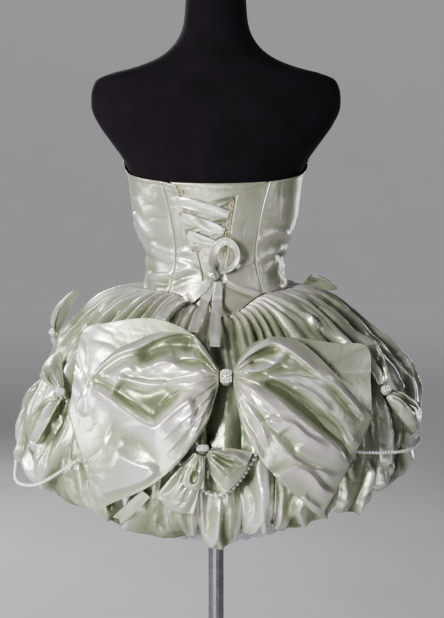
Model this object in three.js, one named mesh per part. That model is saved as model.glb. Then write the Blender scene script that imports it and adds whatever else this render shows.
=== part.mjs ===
import * as THREE from 'three';

// Bubble dress with a laced back, worn by a limbless dress form on a pole.
// Millimetres, +Z up, origin at the centre of the base's underside.
// The front of the dress faces -Y and its laced back faces +Y.
// Angles go round the form from the back centre and rise towards +X.

const DEGREE = Math.PI / 180;

// Driving sizes
const CLOTH = 1.6; // satin wall
const THIN_CLOTH = 1.0; // ribbon and modesty panel
const BODICE_GAP = 3.1; // form to bodice
const PANEL_GAP = 0.2; // half the gap at a seam between two panels
const RIBBON_WIDTH = 17;
const BEAD_RADIUS = 2.7; // bead strands
const STRAND_STEP = 16; // length of one tube step along a strand
const BASE_RADIUS = 165;
const BASE_THICKNESS = 10;
const POLE_RADIUS = 13;
const FACE_GAP = 0.3; // between faces that meet

const PAINT = {
  satin: { color: 0xc9cfbf, roughness: 0.32, metalness: 0 },
  bow_satin: { color: 0xd6dacd, roughness: 0.3, metalness: 0 },
  ribbon: { color: 0xcdd3c4, roughness: 0.35, metalness: 0 },
  lining: { color: 0xb4bba8, roughness: 0.6, metalness: 0 },
  lace: { color: 0xd9d3e2, roughness: 0.8, metalness: 0 },
  piping: { color: 0xd8cba8, roughness: 0.5, metalness: 0 },
  bead: { color: 0xe8e2ea, roughness: 0.25, metalness: 0 },
  velvet: { color: 0x140f16, roughness: 0.95, metalness: 0 },
  steel: { color: 0x8e9094, roughness: 0.3, metalness: 1 },
};

const dress = new THREE.Group();

function addPart(name, geometry, paint) {
  const material = new THREE.MeshStandardMaterial(PAINT[paint]);
  material.side = THREE.FrontSide;
  const mesh = new THREE.Mesh(geometry, material);
  mesh.name = name;
  dress.add(mesh);
  return mesh;
}

// Small helpers

function mix(a, b, share) {
  return a + (b - a) * share;
}

function smooth(share) {
  const t = THREE.MathUtils.clamp(share, 0, 1);
  return t * t * (3 - 2 * t);
}

// A fixed scatter between 0 and 1 for whole numbers.
function scatter(index, salt) {
  const wave = Math.sin(index * 12.9898 + salt * 78.233) * 43758.5453;
  return wave - Math.floor(wave);
}

// A smooth curve through one column of a table whose key column rises.
function column(table, key, name) {
  const slopes = table.map((row, i) => {
    const before = table[Math.max(i - 1, 0)];
    const after = table[Math.min(i + 1, table.length - 1)];
    return (after[name] - before[name]) / (after[key] - before[key]);
  });
  return (x) => {
    let i = 0;
    while (i < table.length - 2 && x > table[i + 1][key]) {
      i += 1;
    }
    const low = table[i];
    const high = table[i + 1];
    const span = high[key] - low[key];
    const t = THREE.MathUtils.clamp((x - low[key]) / span, 0, 1);
    const rise = t * t * (3 - 2 * t);
    const leave = t * (1 - t) * (1 - t) * span * slopes[i];
    const arrive = t * t * (t - 1) * span * slopes[i + 1];
    return mix(low[name], high[name], rise) + leave + arrive;
  };
}

// Places a point at an angle round the form, a distance from its axis and a height.
function around(angle, radius, z) {
  return new THREE.Vector3(radius * Math.sin(angle), radius * Math.cos(angle), z);
}

// Closed bodies from points and triangles

function solid(points, faces) {
  let volume = 0;
  for (let i = 0; i < faces.length; i += 3) {
    const [a, b, c] = [points[faces[i]], points[faces[i + 1]], points[faces[i + 2]]];
    volume += a.dot(new THREE.Vector3().crossVectors(b, c));
  }
  const outward = [];
  for (let i = 0; i < faces.length; i += 3) {
    const [a, b, c] = [faces[i], faces[i + 1], faces[i + 2]];
    outward.push(a, ...(volume > 0 ? [b, c] : [c, b]));
  }
  const geometry = new THREE.BufferGeometry().setFromPoints(points);
  geometry.setIndex(outward);
  geometry.computeVertexNormals();
  return geometry;
}

// Joins two closed rings of point numbers. The second may have half as many points.
function joinRings(faces, ringA, ringB) {
  const [fine, coarse, flip] = ringA.length >= ringB.length
    ? [ringA, ringB, false] : [ringB, ringA, true];
  const add = (a, b, c) => faces.push(...(flip ? [a, c, b] : [a, b, c]));
  const ratio = fine.length / coarse.length;
  for (let i = 0; i < coarse.length; i += 1) {
    const near = coarse[i];
    const far = coarse[(i + 1) % coarse.length];
    const first = fine[i * ratio];
    const last = fine[((i + 1) * ratio) % fine.length];
    if (ratio === 1) {
      add(first, last, far);
      add(first, far, near);
    } else {
      const middle = fine[i * ratio + 1];
      add(first, middle, near);
      add(middle, far, near);
      add(middle, last, far);
    }
  }
}

// A wall that goes all round: rings of its outer points and the same of its inner points.
function roundWall(outerRings, innerRings) {
  const points = [];
  const number = (rings) => rings.map((ring) => ring.map((point) => points.push(point) - 1));
  const outer = number(outerRings);
  const inner = number(innerRings);
  const faces = [];
  const last = outer.length - 1;
  for (let i = 0; i < last; i += 1) {
    joinRings(faces, outer[i], outer[i + 1]);
    joinRings(faces, inner[i + 1], inner[i]);
  }
  joinRings(faces, inner[0], outer[0]);
  joinRings(faces, outer[last], inner[last]);
  return solid(points, faces);
}

// A sheet with edges: rows of outer points and the same rows of inner points.
function sheet(outerRows, innerRows) {
  const points = [];
  const rings = outerRows.map((row, i) => {
    const loop = [...row, ...[...innerRows[i]].reverse()];
    return loop.map((point) => points.push(point) - 1);
  });
  const faces = [];
  for (let i = 0; i + 1 < rings.length; i += 1) {
    joinRings(faces, rings[i], rings[i + 1]);
  }
  const cap = (ring, flip) => {
    for (let j = 0; j + 1 < ring.length / 2; j += 1) {
      const [a, b] = [ring[j], ring[j + 1]];
      const [c, d] = [ring[ring.length - 2 - j], ring[ring.length - 1 - j]];
      faces.push(...(flip ? [a, b, c, a, c, d] : [a, c, b, a, d, c]));
    }
  };
  cap(rings[0], false);
  cap(rings[rings.length - 1], true);
  return solid(points, faces);
}

// Normals of a grid of points, one for each point.
function gridNormals(rows) {
  return rows.map((row, i) => row.map((point, j) => {
    const down = rows[Math.min(i + 1, rows.length - 1)][j];
    const up = rows[Math.max(i - 1, 0)][j];
    const right = row[Math.min(j + 1, row.length - 1)];
    const left = row[Math.max(j - 1, 0)];
    const along = new THREE.Vector3().subVectors(down, up);
    const across = new THREE.Vector3().subVectors(right, left);
    return along.cross(across).normalize();
  }));
}

// Gives a grid of middle points a thickness, half of it to each side.
function thickSheet(rows, thickness) {
  const normals = gridNormals(rows);
  const side = (share) => rows.map((row, i) => row.map((point, j) => (
    point.clone().addScaledVector(normals[i][j], share * thickness)
  )));
  return sheet(side(0.5), side(-0.5));
}

// A filled body through closed rings, closed by a point at each end.
function filled(rings, firstPoint, lastPoint) {
  const points = [];
  const numbered = rings.map((ring) => ring.map((point) => points.push(point) - 1));
  const faces = [];
  for (let i = 0; i + 1 < numbered.length; i += 1) {
    joinRings(faces, numbered[i], numbered[i + 1]);
  }
  const fan = (ring, tip, flip) => {
    const centre = points.push(tip) - 1;
    for (let j = 0; j < ring.length; j += 1) {
      const next = ring[(j + 1) % ring.length];
      faces.push(...(flip ? [centre, ring[j], next] : [centre, next, ring[j]]));
    }
  };
  fan(numbered[0], firstPoint, false);
  fan(numbered[numbered.length - 1], lastPoint, true);
  return solid(points, faces);
}

// Dress form: half width, and half depth behind and in front, from the flat bottom to the neck
const FORM = [
  { z: 760, width: 154, back: 104, front: 92 },
  { z: 810, width: 160, back: 115, front: 98 },
  { z: 850, width: 157, back: 115, front: 98 },
  { z: 890, width: 147, back: 110, front: 96 },
  { z: 925, width: 134, back: 100, front: 93 },
  { z: 955, width: 124, back: 90, front: 88 },
  { z: 982, width: 117, back: 83, front: 84 },
  { z: 1000, width: 114, back: 79, front: 82 },
  { z: 1040, width: 110, back: 75, front: 80 },
  { z: 1058, width: 112, back: 76, front: 82 },
  { z: 1078, width: 119, back: 78, front: 87 },
  { z: 1100, width: 127, back: 81, front: 93 },
  { z: 1125, width: 132, back: 83, front: 100 },
  { z: 1150, width: 135, back: 85, front: 104 },
  { z: 1178, width: 139, back: 87, front: 104 },
  { z: 1205, width: 150, back: 87, front: 97 },
  { z: 1232, width: 169, back: 83, front: 82 },
  { z: 1262, width: 190, back: 75, front: 65 },
  { z: 1292, width: 202, back: 66, front: 54 },
  { z: 1333, width: 194, back: 54, front: 44 },
  { z: 1345, width: 168, back: 51, front: 42 },
  { z: 1354, width: 132, back: 50, front: 43 },
  { z: 1369, width: 94, back: 51, front: 46 },
  { z: 1390, width: 68, back: 52, front: 47 },
  { z: 1420, width: 53, back: 50, front: 45 },
  { z: 1484, width: 46, back: 46, front: 43 },
  { z: 1494, width: 38, back: 38, front: 35 },
];
const FORM_SIDES = 28;
const NECK_TOP = 1498;
const BUST_ANGLE = 30 * DEGREE;
const BUST_SPREAD = 24 * DEGREE;
const BUST_HEIGHT = 1172;
const BUST_REACH = 46;
const BUST_RISE = 12;

const formWidth = column(FORM, 'z', 'width');
const formBack = column(FORM, 'z', 'back');
const formFront = column(FORM, 'z', 'front');

function formRadius(angle, z) {
  const depth = Math.cos(angle) > 0 ? formBack(z) : formFront(z);
  const plain = 1 / Math.hypot(Math.sin(angle) / formWidth(z), Math.cos(angle) / depth);
  const fromFront = Math.abs(Math.PI - Math.abs(angle));
  const sideways = (fromFront - BUST_ANGLE) / BUST_SPREAD;
  const upwards = (z - BUST_HEIGHT) / BUST_REACH;
  return plain + BUST_RISE * Math.exp(-sideways * sideways - upwards * upwards);
}

function addStand() {
  const bevel = 3;
  const base = [
    new THREE.Vector2(0, 0),
    new THREE.Vector2(BASE_RADIUS, 0),
    new THREE.Vector2(BASE_RADIUS, BASE_THICKNESS - bevel),
    new THREE.Vector2(BASE_RADIUS - bevel, BASE_THICKNESS),
    new THREE.Vector2(0, BASE_THICKNESS),
  ];
  addPart('stand_base', new THREE.LatheGeometry(base, 32).rotateX(Math.PI / 2), 'steel');

  const poleFoot = BASE_THICKNESS + FACE_GAP;
  const poleTop = FORM[0].z - FACE_GAP;
  const pole = new THREE.CylinderGeometry(POLE_RADIUS, POLE_RADIUS, poleTop - poleFoot, 16);
  pole.rotateX(Math.PI / 2);
  pole.translate(0, 0, (poleFoot + poleTop) / 2);
  addPart('stand_pole', pole, 'steel');

  const rings = FORM.map(({ z }) => {
    const ring = [];
    for (let i = 0; i < FORM_SIDES; i += 1) {
      let angle = (i / FORM_SIDES) * 2 * Math.PI;
      angle = angle > Math.PI ? angle - 2 * Math.PI : angle;
      ring.push(around(angle, formRadius(angle, z), z));
    }
    return ring;
  });
  const bottom = new THREE.Vector3(0, 0, FORM[0].z);
  addPart('dress_form', filled(rings, bottom, new THREE.Vector3(0, 0, NECK_TOP)), 'velvet');
}

// Bodice: its waist seam drops to a point behind and in front, its top rises over the bust
const WAIST_SEAM = [
  { angle: 0, z: 957 },
  { angle: 16, z: 968 },
  { angle: 34, z: 986 },
  { angle: 50, z: 995 },
  { angle: 90, z: 995 },
  { angle: 130, z: 992 },
  { angle: 150, z: 984 },
  { angle: 165, z: 966 },
  { angle: 180, z: 950 },
];
const TOP_EDGE = [
  { angle: 0, z: 1172 },
  { angle: 45, z: 1174 },
  { angle: 72, z: 1180 },
  { angle: 86, z: 1188 },
  { angle: 98, z: 1205 },
  { angle: 112, z: 1209 },
  { angle: 132, z: 1214 },
  { angle: 150, z: 1222 },
  { angle: 166, z: 1212 },
  { angle: 180, z: 1188 },
];
const SEAM_POINT_SHIFT = 8; // degrees by which the back point lies to one side
const PANEL_ROWS = 10;
// How far each centre back panel's top edge drops from its seam to its placket, in mm
const TOP_DROP = { left: 4, right: 19 };

const seamCurve = column(WAIST_SEAM, 'angle', 'z');
const topCurve = column(TOP_EDGE, 'angle', 'z');

function waistSeam(angle) {
  const degrees = angle / DEGREE;
  const backShare = Math.max(0, 1 - Math.abs(degrees) / 90);
  return seamCurve(Math.abs(degrees + SEAM_POINT_SHIFT * backShare));
}

function topEdge(angle) {
  return topCurve(Math.abs(angle / DEGREE));
}

// Seams of the bodice as angles, by height from 0 at the waist to 1 at the top edge.
const SEAMS = {
  placketLeft: (v) => mix(7, 38, v),
  placketRight: (v) => mix(-3, -21, v),
  back: (v) => 50 - 7 * Math.sin(Math.PI * v),
  side: () => 97,
  front: (v) => 152 + 6 * Math.sin(Math.PI * v) - 4 * v,
};

function bodicePoint(angle, share, offset, top = topEdge) {
  const z = mix(waistSeam(angle), top(angle, share), share);
  return around(angle, formRadius(angle, z) + offset, z);
}

// Top edge of a centre back panel, which drops from its seam to its placket.
function droppedTop(seam, placket, drop) {
  return (angle, share) => {
    const fromSeam = (angle / DEGREE - seam(share)) / (placket(share) - seam(share));
    return topEdge(angle) - drop * fromSeam;
  };
}

// One panel between two seams, given as functions of height in degrees.
function panel(name, fromSeam, toSeam, columns, offset, thickness, gap, paint, top = topEdge) {
  const rows = (distance) => {
    const grid = [];
    for (let i = 0; i < PANEL_ROWS; i += 1) {
      const share = i / (PANEL_ROWS - 1);
      const middle = (fromSeam(share) + toSeam(share)) / 2 * DEGREE;
      const radius = formRadius(middle, mix(waistSeam(middle), topEdge(middle), share));
      const trim = gap / radius;
      const from = fromSeam(share) * DEGREE + trim;
      const to = toSeam(share) * DEGREE - trim;
      const row = [];
      for (let j = 0; j <= columns; j += 1) {
        const angle = mix(from, to, j / columns);
        const near = angle > Math.PI ? angle - 2 * Math.PI : angle;
        row.push(bodicePoint(near, share, distance, top));
      }
      grid.push(row);
    }
    return grid;
  };
  addPart(name, sheet(rows(offset + thickness), rows(offset)), paint);
}

function addBodice() {
  const { placketLeft, placketRight, back, side, front } = SEAMS;
  const minus = (seam) => (v) => -seam(v);
  const beyond = (seam) => (v) => 360 - seam(v);
  const add = (name, from, to, columns, top = topEdge) => {
    panel(name, from, to, columns, BODICE_GAP, CLOTH, PANEL_GAP, 'satin', top);
  };
  const leftTop = droppedTop(back, placketLeft, TOP_DROP.left);
  const rightTop = droppedTop(minus(back), placketRight, TOP_DROP.right);
  add('bodice_centre_back_left', placketLeft, back, 3, leftTop);
  add('bodice_centre_back_right', minus(back), placketRight, 4, rightTop);
  add('bodice_side_back_left', back, side, 4);
  add('bodice_side_back_right', minus(side), minus(back), 4);
  add('bodice_side_front_left', side, front, 6);
  add('bodice_side_front_right', minus(front), minus(side), 6);
  add('bodice_front', front, beyond(front), 8);

  // The modesty panel widens at its top to the right back seam, where it shows above the panel.
  const panelOverlap = 6;
  const widening = 22;
  const modestyOffset = BODICE_GAP - THIN_CLOTH - 0.75;
  panel(
    'modesty_panel',
    (v) => placketRight(v) - panelOverlap - widening * smooth((v - 0.7) / 0.3),
    (v) => placketLeft(v) + panelOverlap,
    8, modestyOffset, THIN_CLOTH, 0, 'satin',
  );
}

// Skirt envelope: rows follow the cloth from the waist seam out, down and under to its hem.
// side, back and front are half sizes from the axis, and the last three are heights.
const SKIRT = [
  { row: 0, side: 121, back: 88, front: 86, sideZ: 994, backZ: 956, frontZ: 949 },
  { row: 1, side: 138, back: 103, front: 101, sideZ: 999, backZ: 961, frontZ: 954 },
  { row: 2, side: 167, back: 132, front: 130, sideZ: 1000, backZ: 964, frontZ: 957 },
  { row: 3, side: 206, back: 169, front: 163, sideZ: 986, backZ: 954, frontZ: 951 },
  { row: 4, side: 250, back: 208, front: 200, sideZ: 951, backZ: 930, frontZ: 930 },
  { row: 5, side: 288, back: 240, front: 230, sideZ: 905, backZ: 893, frontZ: 892 },
  { row: 6, side: 315, back: 265, front: 252, sideZ: 855, backZ: 845, frontZ: 848 },
  { row: 7, side: 331, back: 282, front: 266, sideZ: 803, backZ: 792, frontZ: 800 },
  { row: 8, side: 338, back: 290, front: 272, sideZ: 757, backZ: 740, frontZ: 757 },
  { row: 9, side: 337, back: 290, front: 272, sideZ: 725, backZ: 697, frontZ: 725 },
  { row: 10, side: 326, back: 284, front: 264, sideZ: 703, backZ: 663, frontZ: 703 },
  { row: 11, side: 307, back: 270, front: 249, sideZ: 693, backZ: 643, frontZ: 693 },
  { row: 12, side: 284, back: 252, front: 231, sideZ: 696, backZ: 641, frontZ: 696 },
  { row: 13, side: 265, back: 237, front: 218, sideZ: 710, backZ: 655, frontZ: 710 },
  { row: 14, side: 254, back: 227, front: 209, sideZ: 728, backZ: 676, frontZ: 728 },
];
const SKIRT_END = SKIRT.length - 1;
const FINE_ROWS = 3; // rows that have two columns to each gather
const SKIRT_SEAM_DROP = 1.9; // skirt's top edge below the bodice's lower edge
const SKIRT_SEAM_OFFSET = 4.3; // skirt's top edge off the form

// Depth of the gathers, of the loose folds and of the notches between the puffs, by row
const FOLDS = [
  { row: 0, gather: 0.8, fold: 0, notch: 0 },
  { row: 1, gather: 3.5, fold: 0, notch: 0 },
  { row: 2, gather: 5.5, fold: 0, notch: 0 },
  { row: 3, gather: 0, fold: 6, notch: 0 },
  { row: 4, gather: 0, fold: 6.5, notch: 0 },
  { row: 5, gather: 0, fold: 7, notch: 1 },
  { row: 6, gather: 0, fold: 6, notch: 4 },
  { row: 7, gather: 0, fold: 5, notch: 9 },
  { row: 8, gather: 0, fold: 4, notch: 15 },
  { row: 9, gather: 0, fold: 3, notch: 22 },
  { row: 10, gather: 0, fold: 2, notch: 28 },
  { row: 11, gather: 0, fold: 1, notch: 30 },
  { row: 12, gather: 0, fold: 0, notch: 24 },
  { row: 13, gather: 0, fold: 0, notch: 10 },
  { row: 14, gather: 0, fold: 0, notch: 0 },
];

// Puffs of the hem, in turn from the back centre towards +X: the angle where each ends,
// its columns, and how far it hangs below the envelope
const PUFFS = [
  { end: 42, columns: 6, sag: 7 },
  { end: 65, columns: 4, sag: 2 },
  { end: 86, columns: 4, sag: 0 },
  { end: 107, columns: 4, sag: 4 },
  { end: 128, columns: 4, sag: 1 },
  { end: 150, columns: 4, sag: 3 },
  { end: 172, columns: 4, sag: 0 },
  { end: 194, columns: 4, sag: 5 },
  { end: 215, columns: 4, sag: 1 },
  { end: 237, columns: 4, sag: 4 },
  { end: 259, columns: 4, sag: 0 },
  { end: 281, columns: 4, sag: 3 },
  { end: 303, columns: 4, sag: 2 },
  { end: 319, columns: 3, sag: 8 },
  { end: 341, columns: 4, sag: 2 },
  { end: 351.5, columns: 2, sag: 0 },
  { end: 365.5, columns: 3, sag: 15 },
];
const FIRST_NOTCH = 5.5;

// Where one side of the skirt stands out more or less than the other
const BULGES = [
  { angle: -88, spread: 32, z: 868, reach: 62, out: 26 },
  { angle: -100, spread: 26, z: 790, reach: 40, out: 10 },
  { angle: 92, spread: 34, z: 868, reach: 52, out: -15 },
  { angle: 40, spread: 24, z: 720, reach: 60, out: 5 },
  { angle: 150, spread: 26, z: 800, reach: 70, out: 6 },
];

const skirtColumn = {};
for (const name of ['side', 'back', 'front', 'sideZ', 'backZ', 'frontZ']) {
  skirtColumn[name] = column(SKIRT, 'row', name);
}

function halfTurn(angle) {
  return angle - 2 * Math.PI * Math.round(angle / (2 * Math.PI));
}

function bulge(angle, z) {
  let out = 0;
  for (const spot of BULGES) {
    const turn = halfTurn(angle - spot.angle * DEGREE) / (spot.spread * DEGREE);
    const lift = (z - spot.z) / spot.reach;
    out += spot.out * Math.exp(-turn * turn - lift * lift);
  }
  return out;
}

// Point of the smooth envelope at an angle and a row.
function envelope(angle, row) {
  const facing = Math.cos(angle);
  const depth = facing > 0 ? skirtColumn.back(row) : skirtColumn.front(row);
  const end = facing > 0 ? skirtColumn.backZ(row) : skirtColumn.frontZ(row);
  const ellipse = 1 / Math.hypot(Math.sin(angle) / skirtColumn.side(row), facing / depth);
  const level = mix(skirtColumn.sideZ(row), end, facing * facing);
  const seam = waistSeam(halfTurn(angle));
  const seamShare = 1 - smooth((row - 0.5) / 3.5);
  const seamLift = mix(-SKIRT_SEAM_DROP, 5, smooth(row / 1.2)) - 6 * smooth((row - 2) / 2);
  const z = mix(level, seam + seamLift, seamShare);
  const waist = formRadius(halfTurn(angle), seam) + SKIRT_SEAM_OFFSET;
  const radius = mix(waist, ellipse + bulge(angle, level), smooth(row));
  return around(angle, radius, z);
}

function envelopeNormal(angle, row) {
  const turn = 0.4 * DEGREE;
  const step = 0.05;
  const low = Math.max(row - step, 0);
  const high = Math.min(row + step, SKIRT_END);
  const along = new THREE.Vector3().subVectors(envelope(angle, high), envelope(angle, low));
  const across = new THREE.Vector3().subVectors(
    envelope(angle + turn, row),
    envelope(angle - turn, row),
  );
  return across.cross(along).normalize();
}

// Columns of the skirt: angle, whether a notch runs down it, and the sag of its puff.
function skirtColumns() {
  const list = [];
  let from = FIRST_NOTCH;
  for (const puff of PUFFS) {
    for (let i = 0; i < puff.columns; i += 1) {
      const share = i / puff.columns;
      const fromNotch = Math.min(i, puff.columns - i);
      list.push({
        angle: mix(from, puff.end, share) * DEGREE,
        notch: [1, 0.22, 0.05][Math.min(fromNotch, 2)],
        sag: puff.sag * Math.sin(Math.PI * share),
      });
    }
    from = puff.end;
  }
  return list;
}

let skirtMesh = null; // what the trimmings are seated on
const COLUMNS = skirtColumns();
const SAG_ROWS = { from: 7, to: 14 };

function skirtRings() {
  const outer = [];
  const inner = [];
  for (const { row } of SKIRT) {
    const folds = FOLDS[row];
    const fine = row < FINE_ROWS;
    const outerRing = [];
    const innerRing = [];
    const place = (angle, depth, sag) => {
      const normal = envelopeNormal(angle, row);
      const face = envelope(angle, row).addScaledVector(normal, -depth);
      face.z -= sag;
      outerRing.push(face);
      innerRing.push(face.clone().addScaledVector(normal, -CLOTH));
    };
    COLUMNS.forEach((one, i) => {
      const next = COLUMNS[(i + 1) % COLUMNS.length];
      const down = (row - SAG_ROWS.from) / (SAG_ROWS.to - SAG_ROWS.from);
      const sagShare = down > 0 && down < 1 ? Math.sin(Math.PI * down) : 0;
      const loose = folds.fold * (i % 2 === 0 ? 0.25 : 1) * scatter(i, 2);
      place(one.angle, loose + folds.notch * one.notch, one.sag * sagShare);
      if (fine) {
        const half = halfTurn(next.angle - one.angle) / 2;
        place(one.angle + half, folds.gather * mix(0.65, 1, scatter(i, 5)), 0);
      }
    });
    outer.push(outerRing);
    inner.push(innerRing);
  }
  return { outer, inner };
}

// Underskirt: a plain flared wall inside the bubble, with a lace edge below it
const UNDERSKIRT = [
  { row: 0, side: 150, back: 117, front: 113, sideZ: 942, backZ: 925, frontZ: 925 },
  { row: 1, side: 192, back: 156, front: 147, sideZ: 880, backZ: 865, frontZ: 866 },
  { row: 2, side: 224, back: 190, front: 176, sideZ: 806, backZ: 790, frontZ: 806 },
  { row: 3, side: 243, back: 215, front: 197, sideZ: 745, backZ: 712, frontZ: 745 },
  { row: 4, side: 252, back: 225, front: 207, sideZ: 700, backZ: 640, frontZ: 700 },
];
const UNDERSKIRT_TOP_DROP = 7; // its top edge below the bodice's lower edge
const UNDERSKIRT_TOP_OFFSET = 2.0; // its top edge off the form
const LACE_DROP = 15;
const LACE_SCALLOP = 5;

function underskirtPoint(angle, index, offset) {
  const facing = Math.cos(angle);
  const size = UNDERSKIRT[index];
  const depth = facing > 0 ? size.back : size.front;
  const end = facing > 0 ? size.backZ : size.frontZ;
  const radius = 1 / Math.hypot(Math.sin(angle) / size.side, facing / depth);
  return around(angle, radius + offset, mix(size.sideZ, end, facing * facing));
}

function addSkirt() {
  const { outer, inner } = skirtRings();
  skirtMesh = addPart('skirt', roundWall(outer, inner), 'satin');

  const angles = COLUMNS.map((one) => one.angle);
  const everySecond = angles.filter((_, i) => i % 2 === 0);
  const topRing = (offset) => everySecond.map((angle) => {
    const z = waistSeam(halfTurn(angle)) - UNDERSKIRT_TOP_DROP;
    return around(angle, formRadius(halfTurn(angle), z) + offset, z);
  });
  const rings = (top, offset) => [
    topRing(top),
    ...UNDERSKIRT.map((_, index) => (
      everySecond.map((angle) => underskirtPoint(angle, index, offset))
    )),
  ];
  const outerTop = UNDERSKIRT_TOP_OFFSET + CLOTH;
  addPart('underskirt', roundWall(rings(outerTop, 0), rings(UNDERSKIRT_TOP_OFFSET, -CLOTH)), 'lining');

  const hem = UNDERSKIRT.length - 1;
  const laceRing = (offset, drop, scallop) => angles.map((angle, i) => {
    const point = underskirtPoint(angle, hem, offset);
    point.z -= drop + (i % 2) * scallop;
    return point;
  });
  const laceTop = 0.9;
  const laceDrop = LACE_DROP - LACE_SCALLOP;
  addPart('underskirt_lace', roundWall(
    [laceRing(0, laceTop, 0), laceRing(0, laceDrop, LACE_SCALLOP)],
    [laceRing(-CLOTH, laceTop, 0), laceRing(-CLOTH, laceDrop, LACE_SCALLOP)],
  ), 'lace');
}

// Seating on the folded skirt

const SEAT_GAP = 0.6;
const ray = new THREE.Raycaster();

// Distance from a point to the skirt along a direction.
function reachToSkirt(point, direction) {
  ray.set(point, direction);
  const [hit] = ray.intersectObject(skirtMesh, false);
  return hit ? hit.distance : Infinity;
}

// Moves meshes along a direction together until the nearest one all but meets the skirt.
function seatOnSkirt(meshes, direction) {
  const point = new THREE.Vector3();
  let clearance = Infinity;
  for (const mesh of meshes) {
    const corners = mesh.geometry.getAttribute('position');
    for (let i = 0; i < corners.count; i += 1) {
      point.fromBufferAttribute(corners, i);
      clearance = Math.min(clearance, reachToSkirt(point, direction));
    }
  }
  const move = direction.clone().multiplyScalar(clearance - SEAT_GAP);
  for (const mesh of meshes) {
    mesh.geometry.translate(move.x, move.y, move.z);
  }
}

// Radius of the folded skirt at an angle and a height, the largest within a narrow window.
function skirtRadius(angle, z) {
  const far = 500;
  const window = { turn: 3.2 * DEGREE, lift: 1, count: 5 };
  let radius = 0;
  for (let i = -window.count; i <= window.count; i += 1) {
    for (const lift of [-window.lift, 0, window.lift]) {
      const start = around(angle + (i / window.count) * window.turn, far, z + lift);
      const inward = new THREE.Vector3(-start.x, -start.y, 0).normalize();
      radius = Math.max(radius, far - reachToSkirt(start, inward));
    }
  }
  return radius;
}

const GREATEST_SINE = 0.98; // keeps points that lie beyond the skirt's side on it

// The angle at which a point at this radius has a given x.
function angleAt(x, radius) {
  return Math.asin(THREE.MathUtils.clamp(x / radius, -GREATEST_SINE, GREATEST_SINE));
}

const BACK_SEARCH = { radius: 290, firstRow: 2, lastRow: 11, rounds: 14, halvings: 20 };

// The y of the back of the skirt's envelope at a given x and height.
function skirtBackY(x, z) {
  let angle = angleAt(x, BACK_SEARCH.radius);
  let point = new THREE.Vector3();
  for (let round = 0; round < BACK_SEARCH.rounds; round += 1) {
    let low = BACK_SEARCH.firstRow;
    let high = BACK_SEARCH.lastRow;
    for (let i = 0; i < BACK_SEARCH.halvings; i += 1) {
      const middle = (low + high) / 2;
      if (envelope(angle, middle).z > z) {
        low = middle;
      } else {
        high = middle;
      }
    }
    point = envelope(angle, low);
    angle = angleAt(x, Math.hypot(point.x, point.y));
  }
  return point.y;
}

const ANGLE_ROUNDS = 12;

// The angle on the envelope that has a given x behind the dress.
function skirtAngle(x, row) {
  let angle = 0;
  for (let i = 0; i < ANGLE_ROUNDS; i += 1) {
    const point = envelope(angle, row);
    angle = angleAt(x, Math.hypot(point.x, point.y));
  }
  return angle;
}

// Lacing: flat ribbons across the back opening, wide ones over narrow returns.
// Ends are x and height behind the dress.
const LACING = [
  { name: 'lacing_over_1', fromX: 60, fromZ: 1146, toX: -20, toZ: 1123, layer: 2 },
  { name: 'lacing_over_2', fromX: 50, fromZ: 1119, toX: -13, toZ: 1096, layer: 2 },
  { name: 'lacing_over_3', fromX: 41, fromZ: 1091, toX: -6, toZ: 1070, layer: 2 },
  { name: 'lacing_under_1', fromX: 54, fromZ: 1121, toX: -27, toZ: 1148, layer: 1 },
  { name: 'lacing_under_2', fromX: 45, fromZ: 1094, toX: -19, toZ: 1120, layer: 1 },
  { name: 'lacing_under_3', fromX: 36, fromZ: 1066, toX: -12, toZ: 1092, layer: 1 },
];
const LACING_STEPS = 6;
const LACING_FIRST_LAYER = BODICE_GAP + CLOTH + 0.55;
const LACING_LAYER = THIN_CLOTH + 0.7;
const NARROW_TIE = 0.7; // width of a lower tie to that of an upper one
// Piping loops: how far they lie on the panel and stand out between and at the loops, in mm,
// and where they start and how far they run as shares of the placket
const LOOP_EDGE = { inner: 1.0, between: 2.2, outer: 5.5, count: 5, from: 0.45, thickness: 1.2 };
const LOOP_RUN = { left: 0.5, right: 0.43 };

function backAngle(x, z) {
  let angle = 0;
  for (let i = 0; i < ANGLE_ROUNDS; i += 1) {
    angle = angleAt(x, formRadius(angle, z));
  }
  return angle;
}

function backPoint(x, z, offset) {
  const angle = backAngle(x, z);
  return around(angle, formRadius(angle, z) + offset, z);
}

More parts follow.
